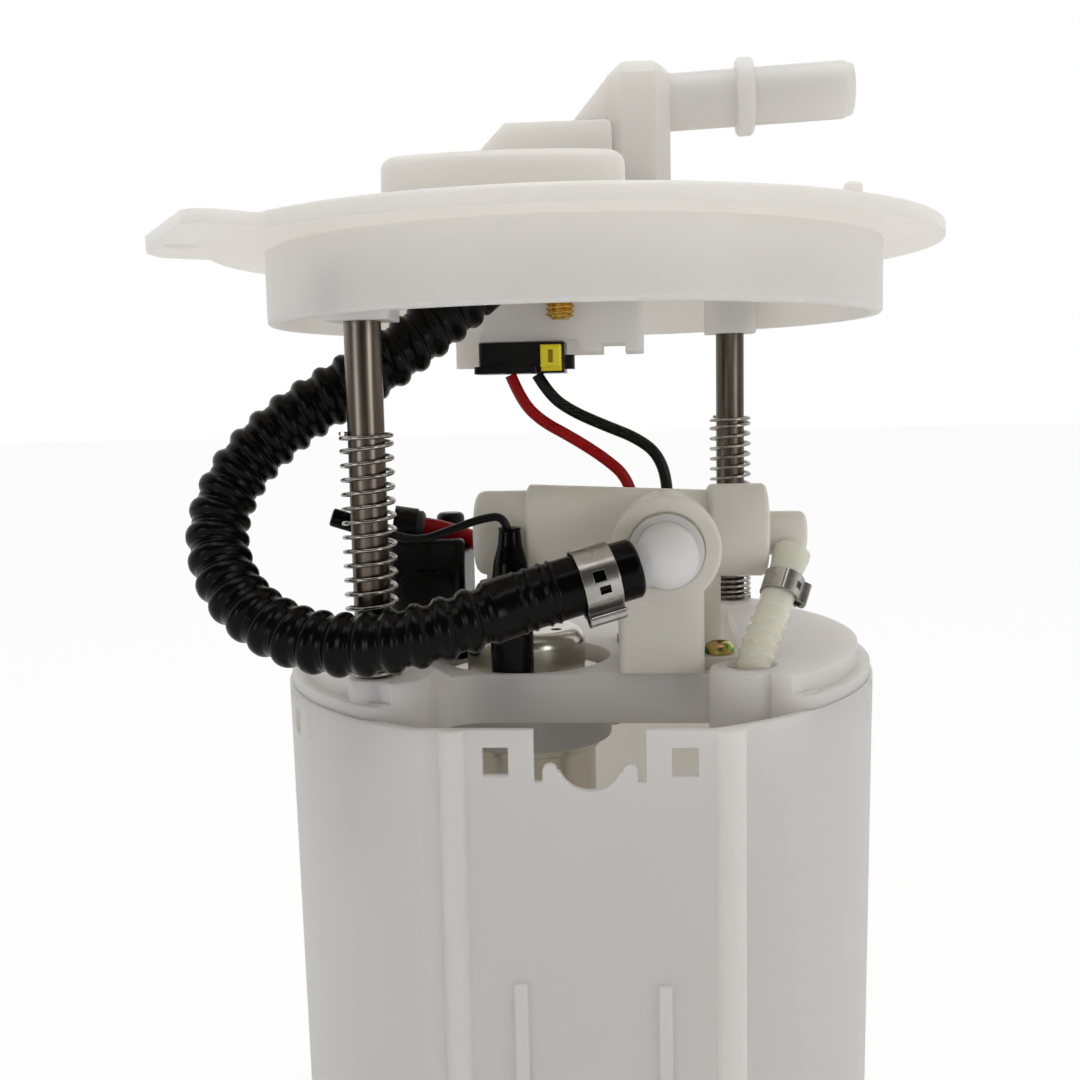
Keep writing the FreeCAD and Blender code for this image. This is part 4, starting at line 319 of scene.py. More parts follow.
tree, shader = base_finish("black_plastic", (0.004, 0.004, 0.0044), 0.28, Specular_IOR_Level=0.22)
tint(tree, shader, stretched_noise(tree, 200.0), [(0.3, (0.003, 0.003, 0.0034)), (0.7, (0.006, 0.006, 0.0064))])
vary_roughness(tree, shader, stretched_noise(tree, 250.0), 0.22, 0.34)
relief(tree, shader, stretched_noise(tree, 1400.0), 0.00001, 0.4, edge=0.0003)

tree, shader = base_finish("seal_rubber", (0.012, 0.012, 0.012), 0.5)
tint(tree, shader, stretched_noise(tree, 300.0), [(0.3, (0.008, 0.008, 0.008)), (0.7, (0.018, 0.018, 0.018))])
relief(tree, shader, stretched_noise(tree, 900.0), 0.00004, 0.5)

tree, shader = base_finish("yellow_plastic", (0.80, 0.66, 0.01), 0.35)
tint(tree, shader, stretched_noise(tree, 150.0), [(0.3, (0.74, 0.60, 0.008)), (0.7, (0.84, 0.72, 0.015))])
relief(tree, shader, stretched_noise(tree, 1200.0), 0.00002, 0.4, edge=0.00025)
print("hose and plastic finishes:", len(finishes))

# %% [markdown]
# ### Leads
# A lead's insulation is soft vinyl: a clean colour with a broad gloss and tiny lengthwise drag marks.

# %% Insulation finishes
for slot, light, deep in [("red_insulation", (0.38, 0.003, 0.004), (0.29, 0.002, 0.003)),
                          ("black_insulation", (0.006, 0.0075, 0.007), (0.003, 0.004, 0.004))]:
    tree, shader = base_finish(slot, light, 0.30, Specular_IOR_Level=0.2)
    tint(tree, shader, stretched_noise(tree, 260.0, (1, 1, 0.3)), [(0.3, deep), (0.7, light)])
    relief(tree, shader, stretched_noise(tree, 1500.0, (1, 1, 0.25)), 0.00003, 0.4)
print("with the leads:", len(finishes), "finishes")

# %% [markdown]
# ### Metals
# A metal shader's colour is what it mirrors. The rods are ground lengthwise, so their noise is stretched
# along Z and the lights smear into upright streaks. Their colour is painted reflection: the ramp on that
# noise paints upright streaks from near-black brown to pale grey, a dim brownish room and a bright
# backdrop painted into the steel. The clamps are bright sheet steel. The screw is zinc plated and
# passivated: its thin film swings between gold, pink and green over a few millimetres, which a colour
# ramp over slow noise shows.

# %% Steels, brass, tin and the yellow passivated screw
tree, shader = base_finish("stainless_rod", (0.36, 0.34, 0.32), 0.28, 1.0, Anisotropic=0.55)
# Painted reflection on the rods: near-black brown streaks for a dim room in front, pale ones for the backdrop.
tint(tree, shader, stretched_noise(tree, 420.0, (1, 1, 0.03), 5.0),
     [(0.30, (0.035, 0.024, 0.017)), (0.5, (0.095, 0.075, 0.06)), (0.72, (0.26, 0.235, 0.20))])
relief(tree, shader, stretched_noise(tree, 1600.0, (1, 1, 0.02), 4.0), 0.000008, 0.4)

tree, shader = base_finish("spring_steel", (0.50, 0.48, 0.45), 0.22, 1.0)
tint(tree, shader, stretched_noise(tree, 500.0), [(0.3, (0.22, 0.20, 0.175)), (0.7, (0.48, 0.46, 0.425))])
relief(tree, shader, stretched_noise(tree, 2200.0), 0.00001, 0.4)

tree, shader = base_finish("clamp_steel", (0.52, 0.51, 0.49), 0.24, 1.0, Anisotropic=0.3)
tint(tree, shader, stretched_noise(tree, 200.0, (1, 1, 2)),
     [(0.3, (0.36, 0.345, 0.325)), (0.7, (0.50, 0.485, 0.465))])
vary_roughness(tree, shader, stretched_noise(tree, 500.0), 0.22, 0.30)
relief(tree, shader, stretched_noise(tree, 1300.0, (1, 1, 4)), 0.000005, 0.3, edge=0.0001)

tree, shader = base_finish("plated_steel", (0.50, 0.49, 0.46), 0.26, 1.0)
tint(tree, shader, stretched_noise(tree, 90.0, detail=5.0),
     [(0.25, (0.44, 0.42, 0.36)), (0.6, (0.56, 0.54, 0.48)), (0.8, (0.64, 0.625, 0.57))])
vary_roughness(tree, shader, stretched_noise(tree, 240.0), 0.2, 0.3)
relief(tree, shader, stretched_noise(tree, 600.0), 0.000004, 0.3, edge=0.0004)

tree, shader = base_finish("yellow_zinc", (0.62, 0.46, 0.16), 0.25, 1.0)
tint(tree, shader, stretched_noise(tree, 300.0, detail=1.0),
     [(0.34, (0.16, 0.28, 0.06)), (0.43, (0.52, 0.48, 0.10)), (0.50, (0.66, 0.30, 0.22)),
      (0.57, (0.56, 0.46, 0.12)), (0.66, (0.18, 0.36, 0.12))])
relief(tree, shader, stretched_noise(tree, 1500.0), 0.00002, 0.4, edge=0.0002)

tree, shader = base_finish("brass", (0.62, 0.40, 0.10), 0.27, 1.0)
tint(tree, shader, stretched_noise(tree, 500.0), [(0.3, (0.46, 0.27, 0.05)), (0.7, (0.74, 0.50, 0.15))])
relief(tree, shader, stretched_noise(tree, 1800.0), 0.00002, 0.4, edge=0.0002)

tree, shader = base_finish("tin_plate", (0.66, 0.66, 0.64), 0.3, 1.0)
tint(tree, shader, stretched_noise(tree, 400.0), [(0.3, (0.56, 0.55, 0.53)), (0.7, (0.72, 0.72, 0.70))])
relief(tree, shader, stretched_noise(tree, 1500.0), 0.00002, 0.4, edge=0.0002)
print("metal finishes done:", len(finishes))

# %% [markdown]
# ### Inside the pump
# These pieces are seen only through gaps or in a cut-away. The magnets are dark ceramic, the armature is
# lacquered copper and iron, and the strainer is a woven cloth whose threads are a fine checker of bumps.

# %% Ferrite, copper and filter mesh
tree, shader = base_finish("ferrite", (0.03, 0.03, 0.032), 0.55)
tint(tree, shader, stretched_noise(tree, 600.0), [(0.3, (0.020, 0.020, 0.022)), (0.7, (0.045, 0.045, 0.048))])
relief(tree, shader, stretched_noise(tree, 1500.0), 0.00004, 0.6, edge=0.0003)

tree, shader = base_finish("winding_copper", (0.55, 0.22, 0.09), 0.34, 0.9)
tint(tree, shader, stretched_noise(tree, 300.0, (1, 1, 8)),
     [(0.3, (0.40, 0.14, 0.05)), (0.7, (0.66, 0.30, 0.13))])
relief(tree, shader, stretched_noise(tree, 700.0, (1, 1, 8)), 0.00005, 0.6)

tree, shader = base_finish("filter_mesh", (0.62, 0.62, 0.58), 0.6)
coordinates = tree.nodes.new("ShaderNodeTexCoord")
weave = tree.nodes.new("ShaderNodeTexChecker")
weave.inputs["Scale"].default_value = 1600.0
weave.inputs["Color1"].default_value = (0.66, 0.66, 0.61, 1)
weave.inputs["Color2"].default_value = (0.42, 0.42, 0.38, 1)
tree.links.new(coordinates.outputs["Object"], weave.inputs["Vector"])
tree.links.new(weave.outputs["Color"], shader.inputs["Base Color"])
relief(tree, shader, weave.outputs["Fac"], 0.0001, 0.7)
print("all finishes:", sorted(finishes))

# %% [markdown]
# ## Finishes on the CAD nodes
# Each node's slot is in the record, so one loop dresses them all. Nodes that are made again later are
# dressed too, which does no harm.

# %% Dress every node
for node, obj in nodes.items():
    material = finish_of(slot_of[node])
    if not obj.material_slots:
        obj.data.materials.append(material)
    for material_slot in obj.material_slots:
        material_slot.material = material
print("dressed", len(nodes), "nodes")

# %% [markdown]
# ## The ribbed feed hose
# The real hose is a corrugated rubber tube. A tall rounded rib and a small one beside it repeat every few
# millimetres, so that the hose bends without kinking. Its lower end is a plain cuff with four fine rings.
# It could be a tube with an array of rings on a curve, but then the rings stay separate. Here the radius
# itself is a function of the distance along the line, so ribs and valleys are one skin. The ring planes
# lean a little as they go round, because the real ribs sit at a slant.

# %% Route and measures of the feed hose
ELBOW_CENTRE = np.array([19.2, -42.0, 157.0])
HOSE_ROUTE = [
    (-16.9, -19.6, 211.4), (-32.4, -28.5, 197.4), (-44.2, -31.3, 190.4), (-56.2, -33.8, 183.2),
    (-65.4, -37.4, 173.6), (-68.3, -43.0, 162.4), (-62.9, -49.9, 151.6), (-51.6, -54.9, 144.9),
    (-39.0, -57.6, 143.3), (-27.2, -57.3, 144.8), (-16.9, -53.8, 147.4), (-9.4, -49.6, 149.8),
]
elbow_way = np.array(HOSE_ROUTE[-1]) - ELBOW_CENTRE
elbow_way /= np.linalg.norm(elbow_way)
HOSE_BACK = 6.3
hose_end = tuple(ELBOW_CENTRE + elbow_way * HOSE_BACK)
HOSE_OUTER = 6.0
HOSE_VALLEY = 4.75
RIB_PITCH = 4.75
TALL_PLACE, LOW_PLACE, LOW_WIDTH = 0.36, 0.86, 0.10
CUFF_RINGS, CUFF_RING_WIDTH = (16.5, 18.2, 21.2, 23.3), 0.34


def hose_radius(along, length):
    """The ribbed radius, which turns into the plain cuff at one end and a plain sleeve at the other.

    Ribbed: valley + a wide round rib once each pitch + a low bell-shaped one between.
    Cuff: plain radius + a bell for each fine ring + a small step up before the ribs.
    """
    phase = (along / RIB_PITCH) % 1.0
    tall = 1 - (0.5 - 0.5 * np.cos(2 * np.pi * (phase - TALL_PLACE))) ** 1.5
    low = sum(np.exp(-(((phase - place) / LOW_WIDTH) ** 2)) for place in (LOW_PLACE, LOW_PLACE - 1))
    ribbed = HOSE_VALLEY + (HOSE_OUTER + 0.04 - HOSE_VALLEY) * tall + 0.40 * low
    back = length - along
    fine = sum(np.exp(-(((back - place) / CUFF_RING_WIDTH) ** 2)) for place in CUFF_RINGS)
    step = 0.20 * soft_step(back, 23.4, 24.2)
    cuff = HOSE_OUTER - 0.28 + 0.38 * np.clip(fine, 0, 1) + step
    share = soft_step(along, length - 29.6, length - 28.5)
    top = soft_step(along, 4.2, 3.0)
    body = ribbed * (1 - share) + cuff * share
    return body * (1 - top) + (HOSE_OUTER - 0.3) * top


print("the hose ends", HOSE_BACK, "mm from the elbow's middle, towards", np.round(elbow_way, 3))


# %% Make the feed hose
along, line = route_line("feed_hose", HOSE_ROUTE + [hose_end], 0.3)
HOSE_SIDES = 52
RIB_SLANT = 0.55
MOUTH_CHAMFER = 0.5
angle = np.linspace(0, 2 * np.pi, HOSE_SIDES, endpoint=False)
slant = RIB_SLANT * np.cos(angle - 0.8)
stations = along[:, None] + slant[None, :]
radius = hose_radius(stations, along[-1])
radius = radius - MOUTH_CHAMFER * (1 - np.clip((along[-1] - along) / 0.6, 0, 1))[:, None]
grid = tube_grid(line, (0.0, -0.94, 0.34), radius, HOSE_SIDES)
feed_hose = round_surface("ribbed_feed_hose", grid, "black_elastomer", sharp=60)
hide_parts("feed_hose")
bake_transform(feed_hose)
print("feed hose has", len(feed_hose.data.polygons), "faces")

# %% [markdown]
# ## The return hose
# The thin clear hose leaves the regulator's cap, goes down through the cover and ends on the jet pump. It
# is plain under its clamp, then has one broad collar, and below it shallow rings where it bends.

# %% Make the return hose
RETURN_ROUTE = [
    (44.4, -20.8, 153.2), (40.9, -26.8, 145.0), (35.8, -32.8, 134.5), (34.6, -34.7, 122.0),
    (34.0, -35.2, 108.0), (33.4, -36.0, 90.0), (33.0, -36.6, 58.0), (33.0, -36.5, 21.0),
]
RETURN_OUTER = 3.5
RING_PITCH = 2.3
END_BEYOND = 2.4


def return_radius(along):
    """A flared end on a plain wall, one ring line, a wider collar, then smooth rings at an even pitch."""
    plain = RETURN_OUTER - 0.12 + 0.45 * soft_step(along, 4.6, 0.8)
    ring_line = 0.10 * np.exp(-(((along - 14.2) / 0.4) ** 2))
    collar = 0.10 * soft_step(along, 14.0, 14.6)
    rings = 0.36 * (0.5 + 0.5 * np.cos(2 * np.pi * (along - 17.2) / RING_PITCH)) ** 1.4 - 0.16
    rings = rings * soft_step(along, 15.6, 17.0) * soft_step(along, 64.0, 60.0)
    return plain + ring_line + collar + rings


return_way = np.array(RETURN_ROUTE[1]) - np.array(RETURN_ROUTE[0])
return_way /= np.linalg.norm(return_way)
shown_end = tuple(np.array(RETURN_ROUTE[0]) - return_way * END_BEYOND)
along, line = route_line("return_hose", [shown_end] + RETURN_ROUTE, 0.28)
grid = tube_grid(line, (1.0, 0.0, 0.15), return_radius(along), 36)
return_hose = round_surface("ringed_return_hose", grid, "clear_polyamide", "reservoir_unit", sharp=60)
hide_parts("return_hose")

# %% [markdown]
# ## The leads
# A red and a black lead run from the inner plug down to the gland in the cover. A thick red lead leaves
# the pump's connector, and a thin black earth wire leaves the rubber boot. All four are plain round tubes
# on their splines.

# %% Make the leads
RED_WIRE_ROUTE = [
    (-14.2, 1.5, 192.7), (-11.9, 1.7, 186.9), (-7.6, 2.0, 182.4), (-0.8, 2.5, 178.6), (6.2, 3.0, 174.0),
    (11.4, 3.7, 169.4), (13.4, 4.0, 161.0), (13.2, 4.3, 148.0), (13.2, 4.0, 134.4),
]
BLACK_WIRE_ROUTE = [
    (-8.3, 1.5, 192.7), (-5.6, 2.0, 188.0), (-0.7, 2.5, 184.4), (6.3, 3.0, 181.2), (13.6, 3.5, 178.2),
    (18.4, 3.9, 174.4), (20.5, 4.1, 167.6), (20.0, 4.3, 157.0), (17.4, 4.2, 146.4), (16.8, 4.0, 134.4),
]
EARTH_WIRE_ROUTE = [
    (-12.5, -24.8, 158.4), (-12.9, -25.0, 164.0), (-18.6, -26.0, 163.3), (-24.4, -27.5, 161.2),
    (-30.3, -29.2, 159.3), (-35.8, -31.0, 160.9), (-41.6, -32.6, 163.0),
]
RED_LEAD_ROUTE = [
    (-36.4, -9.6, 160.8), (-30.4, -8.8, 159.8), (-25.2, -4.8, 157.6), (-19.4, -0.4, 154.8), (-11.6, 2.8, 151.4),
    (-3.0, 5.8, 148.8), (6.2, 8.2, 146.4), (14.6, 7.8, 142.6), (14.8, 7.6, 134.48),
]


def make_lead(name, route, radius, slot, node, body=None):
    """A round tube on the route's spline, as thick as the insulation."""
    along, line = route_line(name, route, 0.5)
    lead = round_surface(name, tube_grid(line, (0.1, 1.0, 0.05), radius, 24), slot, body)
    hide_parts(node)
    return lead


PLUG_LEAD_RADIUS = 1.3
for name, route, slot in [("red_flange_lead", RED_WIRE_ROUTE, "red_insulation"),
                          ("black_flange_lead", BLACK_WIRE_ROUTE, "black_insulation")]:
    lead = make_lead(name, route, PLUG_LEAD_RADIUS, slot, name.split("_")[0] + "_wire")
    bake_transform(lead)
make_lead("thin_earth_lead", EARTH_WIRE_ROUTE, 0.85, "black_insulation", "earth_wire", "reservoir_unit")
make_lead("thick_red_lead", RED_LEAD_ROUTE, 2.1, "red_insulation", "red_lead", "reservoir_unit")

# %% [markdown]
# ## The springs
# Each spring is round wire wound in a helix: a point goes round the rod's axis while it climbs. The climb
# for each turn is small at both ends, where the last coil is closed on its neighbour, and full between.
# Adding up the climb turn by turn gives the height. For about the first twenty millimetres of its way
# down the flange doesn't touch the springs.

# %% Wind the springs
ROD_CIRCLE, ROD_ANGLE = 57.8, math.radians(49.9)
ROD_PLACE = ROD_CIRCLE * np.array([math.cos(ROD_ANGLE), math.sin(ROD_ANGLE)])
SPRING_SEAT = 135.1
SPRING_LENGTH = 47.0
SPRING_OUTER = 5.2
WIRE_RADIUS = 0.40


def spring_line(centre, turns, climb):
    """(x, y) on a circle round the rod, z as the sum of the climb, scaled to the spring's length."""
    turn = np.linspace(0, turns, int(turns * 36) + 1)
    rise = np.concatenate([[0], np.cumsum(climb(turn[1:], turns))])
    z = SPRING_SEAT + WIRE_RADIUS + rise / rise[-1] * (SPRING_LENGTH - 2 * WIRE_RADIUS)
    radius = SPRING_OUTER - WIRE_RADIUS
    x = centre[0] + radius * np.cos(2 * np.pi * turn)
    y = centre[1] + radius * np.sin(2 * np.pi * turn)
    return np.stack([x, y, z], axis=1)


def open_part(turn, turns):
    """1 along the open coils and 0 in the closed coil at each end."""
    return soft_step(turn, 0.9, 1.5) * soft_step(turns - turn, 0.9, 1.5)


def front_climb(turn, turns):
    """Closed end coils of about a wire's thickness and an even open pitch between them."""
    return 0.85 + 1.85 * open_part(turn, turns)


def rear_climb(turn, turns):
    """Dense coils in the lower half that open towards the top."""
    return 0.85 + (0.35 + 1.1 * soft_step(turn / turns, 0.2, 0.6)) * open_part(turn, turns)


for name, side, turns, climb in [("front", -1, 18.6, front_climb), ("rear", 1, 23.4, rear_climb)]:
    line = spring_line(side * ROD_PLACE, turns, climb)
    grid = tube_grid(line, (0.0, 0.0, 1.0), WIRE_RADIUS, 12)
    spring = round_surface(name + "_wound_spring", grid, "spring_steel")
    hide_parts(name + "_spring")
    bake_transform(spring)
    print(name, "spring:", turns, "turns,", len(spring.data.polygons), "faces")

# %% [markdown]
# ## The check valve's spring
# A small spring inside the valve housing presses the disc on its seat. It is hidden unless the housing is
# cut away, so a plain coil would do, but the same sum of climbs winds it along X with closed ends too.

# %% Wind the check valve's spring
VALVE_START = np.array([-3.4, -14.0, 159.2])
VALVE_SPRING_LENGTH = 11.2
VALVE_SPRING_TURNS = 8.5
VALVE_SPRING_RADIUS = 2.3
VALVE_WIRE_RADIUS = 0.26
VALVE_END_GAP = 0.3
turn = np.linspace(0, VALVE_SPRING_TURNS, 340)
climb = 0.5 + 1.4 * soft_step(turn[1:], 0.9, 1.4) * soft_step(VALVE_SPRING_TURNS - turn[1:], 0.9, 1.4)
rise = np.concatenate([[0], np.cumsum(climb)])
line = np.stack([VALVE_START[0] + VALVE_END_GAP + rise / rise[-1] * (VALVE_SPRING_LENGTH - 2 * VALVE_END_GAP),
                 VALVE_START[1] + VALVE_SPRING_RADIUS * np.cos(2 * np.pi * turn),
                 VALVE_START[2] + VALVE_SPRING_RADIUS * np.sin(2 * np.pi * turn)], axis=1)
grid = tube_grid(line, (1.0, 0.0, 0.0), VALVE_WIRE_RADIUS, 12)
spring = round_surface("check_wound_spring", grid, "spring_steel")
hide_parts("check_valve_spring")
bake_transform(spring)
print("check valve spring has", len(spring.data.polygons), "faces")

# %% [markdown]
# ## The ear clamps
# An ear clamp is a thin steel strip wound once round the hose and a little over itself. One end has slots
# that hook over teeth in the layer below, and the ear is pinched to pull it tight. The strip is a sheet
# with two parameters: how far round it goes, and where across its width. The radius steps out by one
# thickness where it passes over itself, rises for the ear and curls out at its tail. Faces inside the
# slots are left out, and Solidify gives the sheet its thickness.

# %% Make the clamps
def clamp_frame(axis, ear):
    """Three directions: the ear's, made square to the axis, the one a quarter turn on, and the axis."""
    axis = np.array(axis, float) / np.linalg.norm(axis)
    ear = np.array(ear, float)
    ear = ear - axis * (ear @ axis)
    ear /= np.linalg.norm(ear)
    return ear, np.cross(axis, ear), axis


def make_clamp(name, centre, axis, ear, inner, width, node, slots, shape):
    """The strip's radius: inner + one layer where it overlaps + the ear's arch + the tail's curl.

    A slot is (first degree, last degree, near edge, far edge), with the edges as shares of the width. In
    shape, height and half are the ear's height and half its width in degrees, lap is where the strip
    passes over itself, tail where it ends, curl how far the tail stands off, and turn the way round.
    """
    thickness, degree = 0.42, math.radians(1)
    out, across, axis = clamp_frame(axis, ear)
    around = np.linspace(-30 * degree, shape["tail"] * degree, 431)
    place = np.linspace(-0.5, 0.5, 37)
    overlap = soft_step(around, shape["lap"] * degree, (shape["lap"] + 3) * degree) * (thickness + 0.04)
    foot, top = (shape["half"] + 7) * degree, shape["half"] * degree
    first = soft_step(around, -foot, -top) * soft_step(around, foot, top)
    on_from = around - 2 * np.pi
    second = soft_step(on_from, -foot, -top) * soft_step(on_from, foot, top)
    from_ear = np.minimum(np.abs(around), np.abs(around - 2 * np.pi)) / degree
    pinch = 0.35 * np.exp(-((from_ear / 5.0) ** 2))[:, None] * (1 - (2 * place[None, :]) ** 2)
    arch = (first + second)[:, None] * shape["height"] * (1 - pinch)
    curl = shape["curl"] * soft_step(around, (shape["tail"] - 16) * degree, shape["tail"] * degree) ** 1.5
    radius = inner + (overlap + curl)[:, None] + arch
    turned = around * shape["turn"]
    ring = np.cos(turned)[:, None] * out + np.sin(turned)[:, None] * across
    grid = np.array(centre) + radius[:, :, None] * ring[:, None] + (place[None, :, None] * width) * axis
    rows, columns = grid.shape[:2]
    number = np.arange(rows * columns).reshape(rows, columns)
    quads = np.stack([number[:-1, :-1], number[1:, :-1], number[1:, 1:], number[:-1, 1:]], axis=-1)
    if shape["turn"] < 0:
        quads = quads[..., ::-1]
    middle_round = np.degrees((around[:-1] + around[1:]) / 2)[:, None]
    middle_across = ((place[:-1] + place[1:]) / 2)[None, :]
    kept = np.ones(quads.shape[:2], bool)
    for low, high, near, far in slots:
        hole = (middle_round > low) & (middle_round < high) & (middle_across > near) & (middle_across < far)
        kept &= ~hole
    clamp = make_object(name, grid.reshape(-1, 3) * MM, quads[kept].tolist(), "clamp_steel", "reservoir_unit")
    wall = clamp.modifiers.new("thickness", "SOLIDIFY")
    wall.thickness = thickness * MM
    wall.offset = 1.0
    edge = clamp.modifiers.new("edge", "BEVEL")
    edge.width = 0.00008
    edge.segments = 2
    edge.limit_method = "ANGLE"
    clamp.data.set_sharp_from_angle(angle=math.radians(35))
    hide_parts(node)
    print(name, "has", int(kept.sum()), "sheet faces")


FEED_CLAMP_BACK = 14.5
RETURN_CLAMP_BACK = 6.0
feed_place = ELBOW_CENTRE + elbow_way * FEED_CLAMP_BACK
make_clamp("feed_hose_ear_clamp", feed_place, elbow_way, ear=(0, -0.35, -1), inner=6.06, width=7.0,
           node="lower_hose_clamp", slots=[(54, 67, -0.20, 0.11), (76, 94, -0.14, 0.20)],
           shape={"height": 1.6, "half": 9, "lap": 322, "tail": 384, "curl": 1.3, "turn": 1})
return_place = np.array(RETURN_ROUTE[0]) + return_way * RETURN_CLAMP_BACK
make_clamp("return_hose_ear_clamp", return_place, return_way, ear=(1, 0.25, 0), inner=3.42, width=4.6,
           node="return_hose_clamp", slots=[(300, 322, -0.16, 0.16)],
           shape={"height": 1.5, "half": 9, "lap": 262, "tail": 386, "curl": 0.4, "turn": -1})

# %% [markdown]
# ## The earth stud and the screw
# A thread is a ridge that climbs as it goes round. With the radius as a function of height and angle, one
# wave of (height / pitch - angle / full turn) winds by itself into a helix, and its crest stays at the CAD
# radius. The screw's head is a dome whose height drops inside a cross, as the driver's recess does.

# %% Cut the stud's thread
STUD_X, STUD_Y, STUD_BOTTOM, STUD_TOP = -2.3, -8.5, 204.0, 220.6
THREAD_PITCH = 1.1
THREAD_CORE, THREAD_DEPTH, SHOULDER, CHAMFER = 2.45, 0.65, 0.35, 0.7
height = np.linspace(0, STUD_TOP - STUD_BOTTOM, 190)
angle = np.linspace(0, 2 * np.pi, 72, endpoint=False)
wave = (height[:, None] / THREAD_PITCH - angle[None, :] / (2 * np.pi)) % 1.0
ridge = 1 - np.abs(2 * wave - 1) ** 1.4
threaded = soft_step(height, 0.1, 0.9) * soft_step(height, 13.9, 13.2)
shoulder = SHOULDER * soft_step(height, 13.5, 13.9) - CHAMFER * (1 - soft_step(height, 0.0, 0.8))
radius = THREAD_CORE + THREAD_DEPTH * ridge * threaded[:, None] + shoulder[:, None]
axis_points = np.stack([np.full_like(height, STUD_X), np.full_like(height, STUD_Y),
                        STUD_BOTTOM + height], axis=1)
grid = tube_grid(axis_points, (1.0, 0.0, 0.0), radius, 72)
stud = round_surface("threaded_earth_stud", grid, "brass", "flange_unit", 50)
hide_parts("earth_stud")
print("stud has", len(stud.data.polygons), "faces")

# %% Shape the screw's head
SCREW_X, SCREW_Y, SCREW_SEAT = 30.1, -21.8, 134.5
HEAD_RADIUS, HEAD_RIM, HEAD_RISE, CROSS_DEPTH = 3.0, 0.85, 1.75, 1.2
share = np.concatenate([np.linspace(1, 0.93, 6), np.linspace(0.92, 0.02, 64)])
angle = np.linspace(0, 2 * np.pi, 144, endpoint=False)
x = HEAD_RADIUS * share[:, None] * np.cos(angle)
y = HEAD_RADIUS * share[:, None] * np.sin(angle)
dome = HEAD_RIM + HEAD_RISE * np.sqrt(np.clip(1 - share ** 3.2, 0, 1))[:, None] + 0 * x
arm = np.maximum(soft_step(np.abs(x), 0.52, 0.36) * soft_step(np.abs(y), 1.75, 1.45),
                 soft_step(np.abs(y), 0.52, 0.36) * soft_step(np.abs(x), 1.75, 1.45))
dome = dome - CROSS_DEPTH * arm
top_rings = np.stack([SCREW_X + x, SCREW_Y + y, SCREW_SEAT + dome], axis=-1)
SIDE_PROFILE = [(1.6, -5.5), (1.6, 0.0), (2.85, 0.0), (3.0, 0.12)]
side_rings = np.stack([np.stack([SCREW_X + r * np.cos(angle), SCREW_Y + r * np.sin(angle),
                                 np.full_like(angle, SCREW_SEAT + z)], axis=-1) for r, z in SIDE_PROFILE])
grid = np.concatenate([side_rings, top_rings])
screw = round_surface("cross_head_screw", grid, "yellow_zinc", "reservoir_unit", 50)
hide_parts("cover_screw")
print("screw has", len(screw.data.polygons), "faces")

# %% [markdown]
# ## Camera
# The photograph looks slightly down from in front, from a little to the right, and the lens was worked
# out from the rods, the rim and the flange. The camera's matrix is built from its own right, up and back
# directions.

# %% Place the camera
CAMERA_PLACE = Vector((13.93, -277.35, 188.06)) * MM
CAMERA_LENS = 41.63
yaw, pitch, roll = -0.07996, -0.1152, -0.021
forward = Vector((math.sin(yaw) * math.cos(pitch), math.cos(yaw) * math.cos(pitch), math.sin(pitch)))
level_right = Vector((math.cos(yaw), -math.sin(yaw), 0))
level_up = level_right.cross(forward)
right = level_right * math.cos(roll) + level_up * math.sin(roll)
up = level_up * math.cos(roll) - level_right * math.sin(roll)
camera_data = bpy.data.cameras.new("camera")
camera_data.lens = CAMERA_LENS
camera_data.sensor_width = 36.0
camera_data.clip_start = 0.01
camera = bpy.data.objects.new("camera", camera_data)
bpy.context.scene.collection.objects.link(camera)
turn = Matrix((right, up, -forward)).transposed().to_4x4()
camera.matrix_world = Matrix.Translation(CAMERA_PLACE) @ turn
bpy.context.scene.camera = camera
print("camera looks along", [round(v, 3) for v in forward])

# %% [markdown]
# ## Floor, backdrop and light
# The photograph was taken against a lit white backdrop: edges of the white pieces are brighter than their
# middles, and the dark pieces mirror a dim room in front and the bright backdrop only at their rims. So the
# world is a room: bright behind and above, dim and a little warm in front, blended by direction. The
# camera itself sees plain white. The floor shows a little of its own lit surface under plain white, so it is
# white where nothing shades it and still keeps the module's shadow.

# %% World and floor
def white_to_camera(tree):
    """1 for rays from the camera and through clear things, else 0."""
    path = tree.nodes.new("ShaderNodeLightPath")
    seen = tree.nodes.new("ShaderNodeMath")
    seen.operation = "MAXIMUM"
    tree.links.new(path.outputs["Is Camera Ray"], seen.inputs[0])
    tree.links.new(path.outputs["Is Transmission Ray"], seen.inputs[1])
    return seen.outputs[0]


WORLD_STRENGTH = 0.95
FLOOR_WHITE = 0.92
IN_FRONT = (0.06, 0.054, 0.048)
BESIDE_FRONT = (0.11, 0.10, 0.09)
BEHIND = (1.0, 1.0, 1.0)
world = bpy.data.worlds.new("studio")
bpy.context.scene.world = world
world.use_nodes = True
tree = world.node_tree
lamp = tree.nodes["Background"]
direction = tree.nodes.new("ShaderNodeTexCoord")
parts = tree.nodes.new("ShaderNodeSeparateXYZ")
tree.links.new(direction.outputs["Generated"], parts.inputs[0])
room = tree.nodes.new("ShaderNodeValToRGB")
room.color_ramp.elements[0].color = (*IN_FRONT, 1)
for place, colour in [(0.32, BESIDE_FRONT), (0.47, BEHIND)]:
    room.color_ramp.elements.new(place).color = (*colour, 1)
toward = tree.nodes.new("ShaderNodeMapRange")
toward.inputs["From Min"].default_value = -1.0
tree.links.new(parts.outputs["Y"], toward.inputs["Value"])
tree.links.new(toward.outputs["Result"], room.inputs["Fac"])
tree.links.new(room.outputs["Color"], lamp.inputs["Color"])
lamp.inputs["Strength"].default_value = WORLD_STRENGTH
shown = tree.nodes.new("ShaderNodeBackground")
shown.inputs["Color"].default_value = (1, 1, 1, 1)
shown.inputs["Strength"].default_value = 1.0
mix = tree.nodes.new("ShaderNodeMixShader")
tree.links.new(white_to_camera(tree), mix.inputs["Fac"])
tree.links.new(lamp.outputs[0], mix.inputs[1])
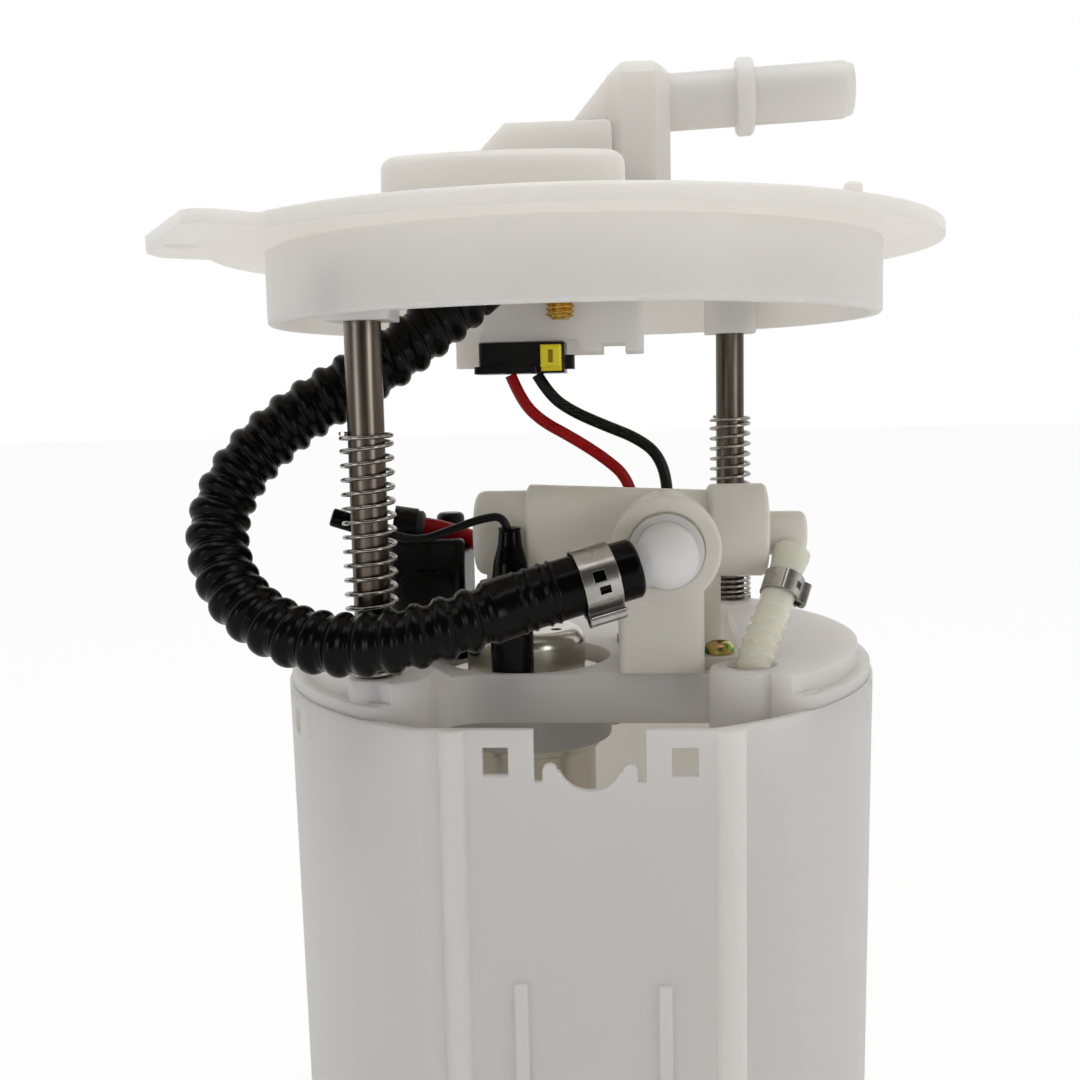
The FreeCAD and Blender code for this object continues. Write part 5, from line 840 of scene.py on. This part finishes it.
tree.links.new(shown.outputs[0], mix.inputs[2])
tree.links.new(mix.outputs[0], tree.nodes["World Output"].inputs["Surface"])

floor_finish = bpy.data.materials.new("studio_floor")
floor_finish.use_nodes = True
tree = floor_finish.node_tree
lit = tree.nodes["Principled BSDF"]
lit.inputs["Base Color"].default_value = (0.9, 0.9, 0.9, 1)
lit.inputs["Roughness"].default_value = 0.8
plain = tree.nodes.new("ShaderNodeEmission")
plain.inputs["Color"].default_value = (1, 1, 1, 1)
white_share = tree.nodes.new("ShaderNodeMath")
white_share.operation = "MULTIPLY"
white_share.inputs[1].default_value = FLOOR_WHITE
mix = tree.nodes.new("ShaderNodeMixShader")
tree.links.new(white_to_camera(tree), white_share.inputs[0])
tree.links.new(white_share.outputs[0], mix.inputs["Fac"])
tree.links.new(lit.outputs[0], mix.inputs[1])
tree.links.new(plain.outputs[0], mix.inputs[2])
tree.links.new(mix.outputs[0], tree.nodes["Material Output"].inputs["Surface"])

floor_mesh = bpy.data.meshes.new("floor")
floor_mesh.from_pydata([(-6, -6, 0), (6, -6, 0), (6, 6, 0), (-6, 6, 0)], [], [(0, 1, 2, 3)])
floor_mesh.materials.append(floor_finish)
floor = bpy.data.objects.new("floor", floor_mesh)
bpy.context.scene.collection.objects.link(floor)

# %% Soft boxes
def soft_box(name, place, aim, size, power):
    """A square area lamp that looks at a point."""
    data = bpy.data.lights.new(name, "AREA")
    data.shape = "SQUARE"
    data.size = size
    data.energy = power
    obj = bpy.data.objects.new(name, data)
    bpy.context.scene.collection.objects.link(obj)
    obj.location = place
    obj.rotation_euler = (Vector(aim) - Vector(place)).to_track_quat("-Z", "Y").to_euler()


soft_box("top_box", place=(0.0, -0.2, 1.3), aim=(0, 0, 0.15), size=0.9, power=6.0)
soft_box("left_box", place=(-0.95, -1.2, 0.28), aim=(0, 0, 0.17), size=0.5, power=2.6)
soft_box("right_box", place=(1.15, -1.0, 0.30), aim=(0, 0, 0.17), size=0.5, power=3.4)
bpy.context.scene.view_settings.view_transform = "Standard"
print("lamps placed")
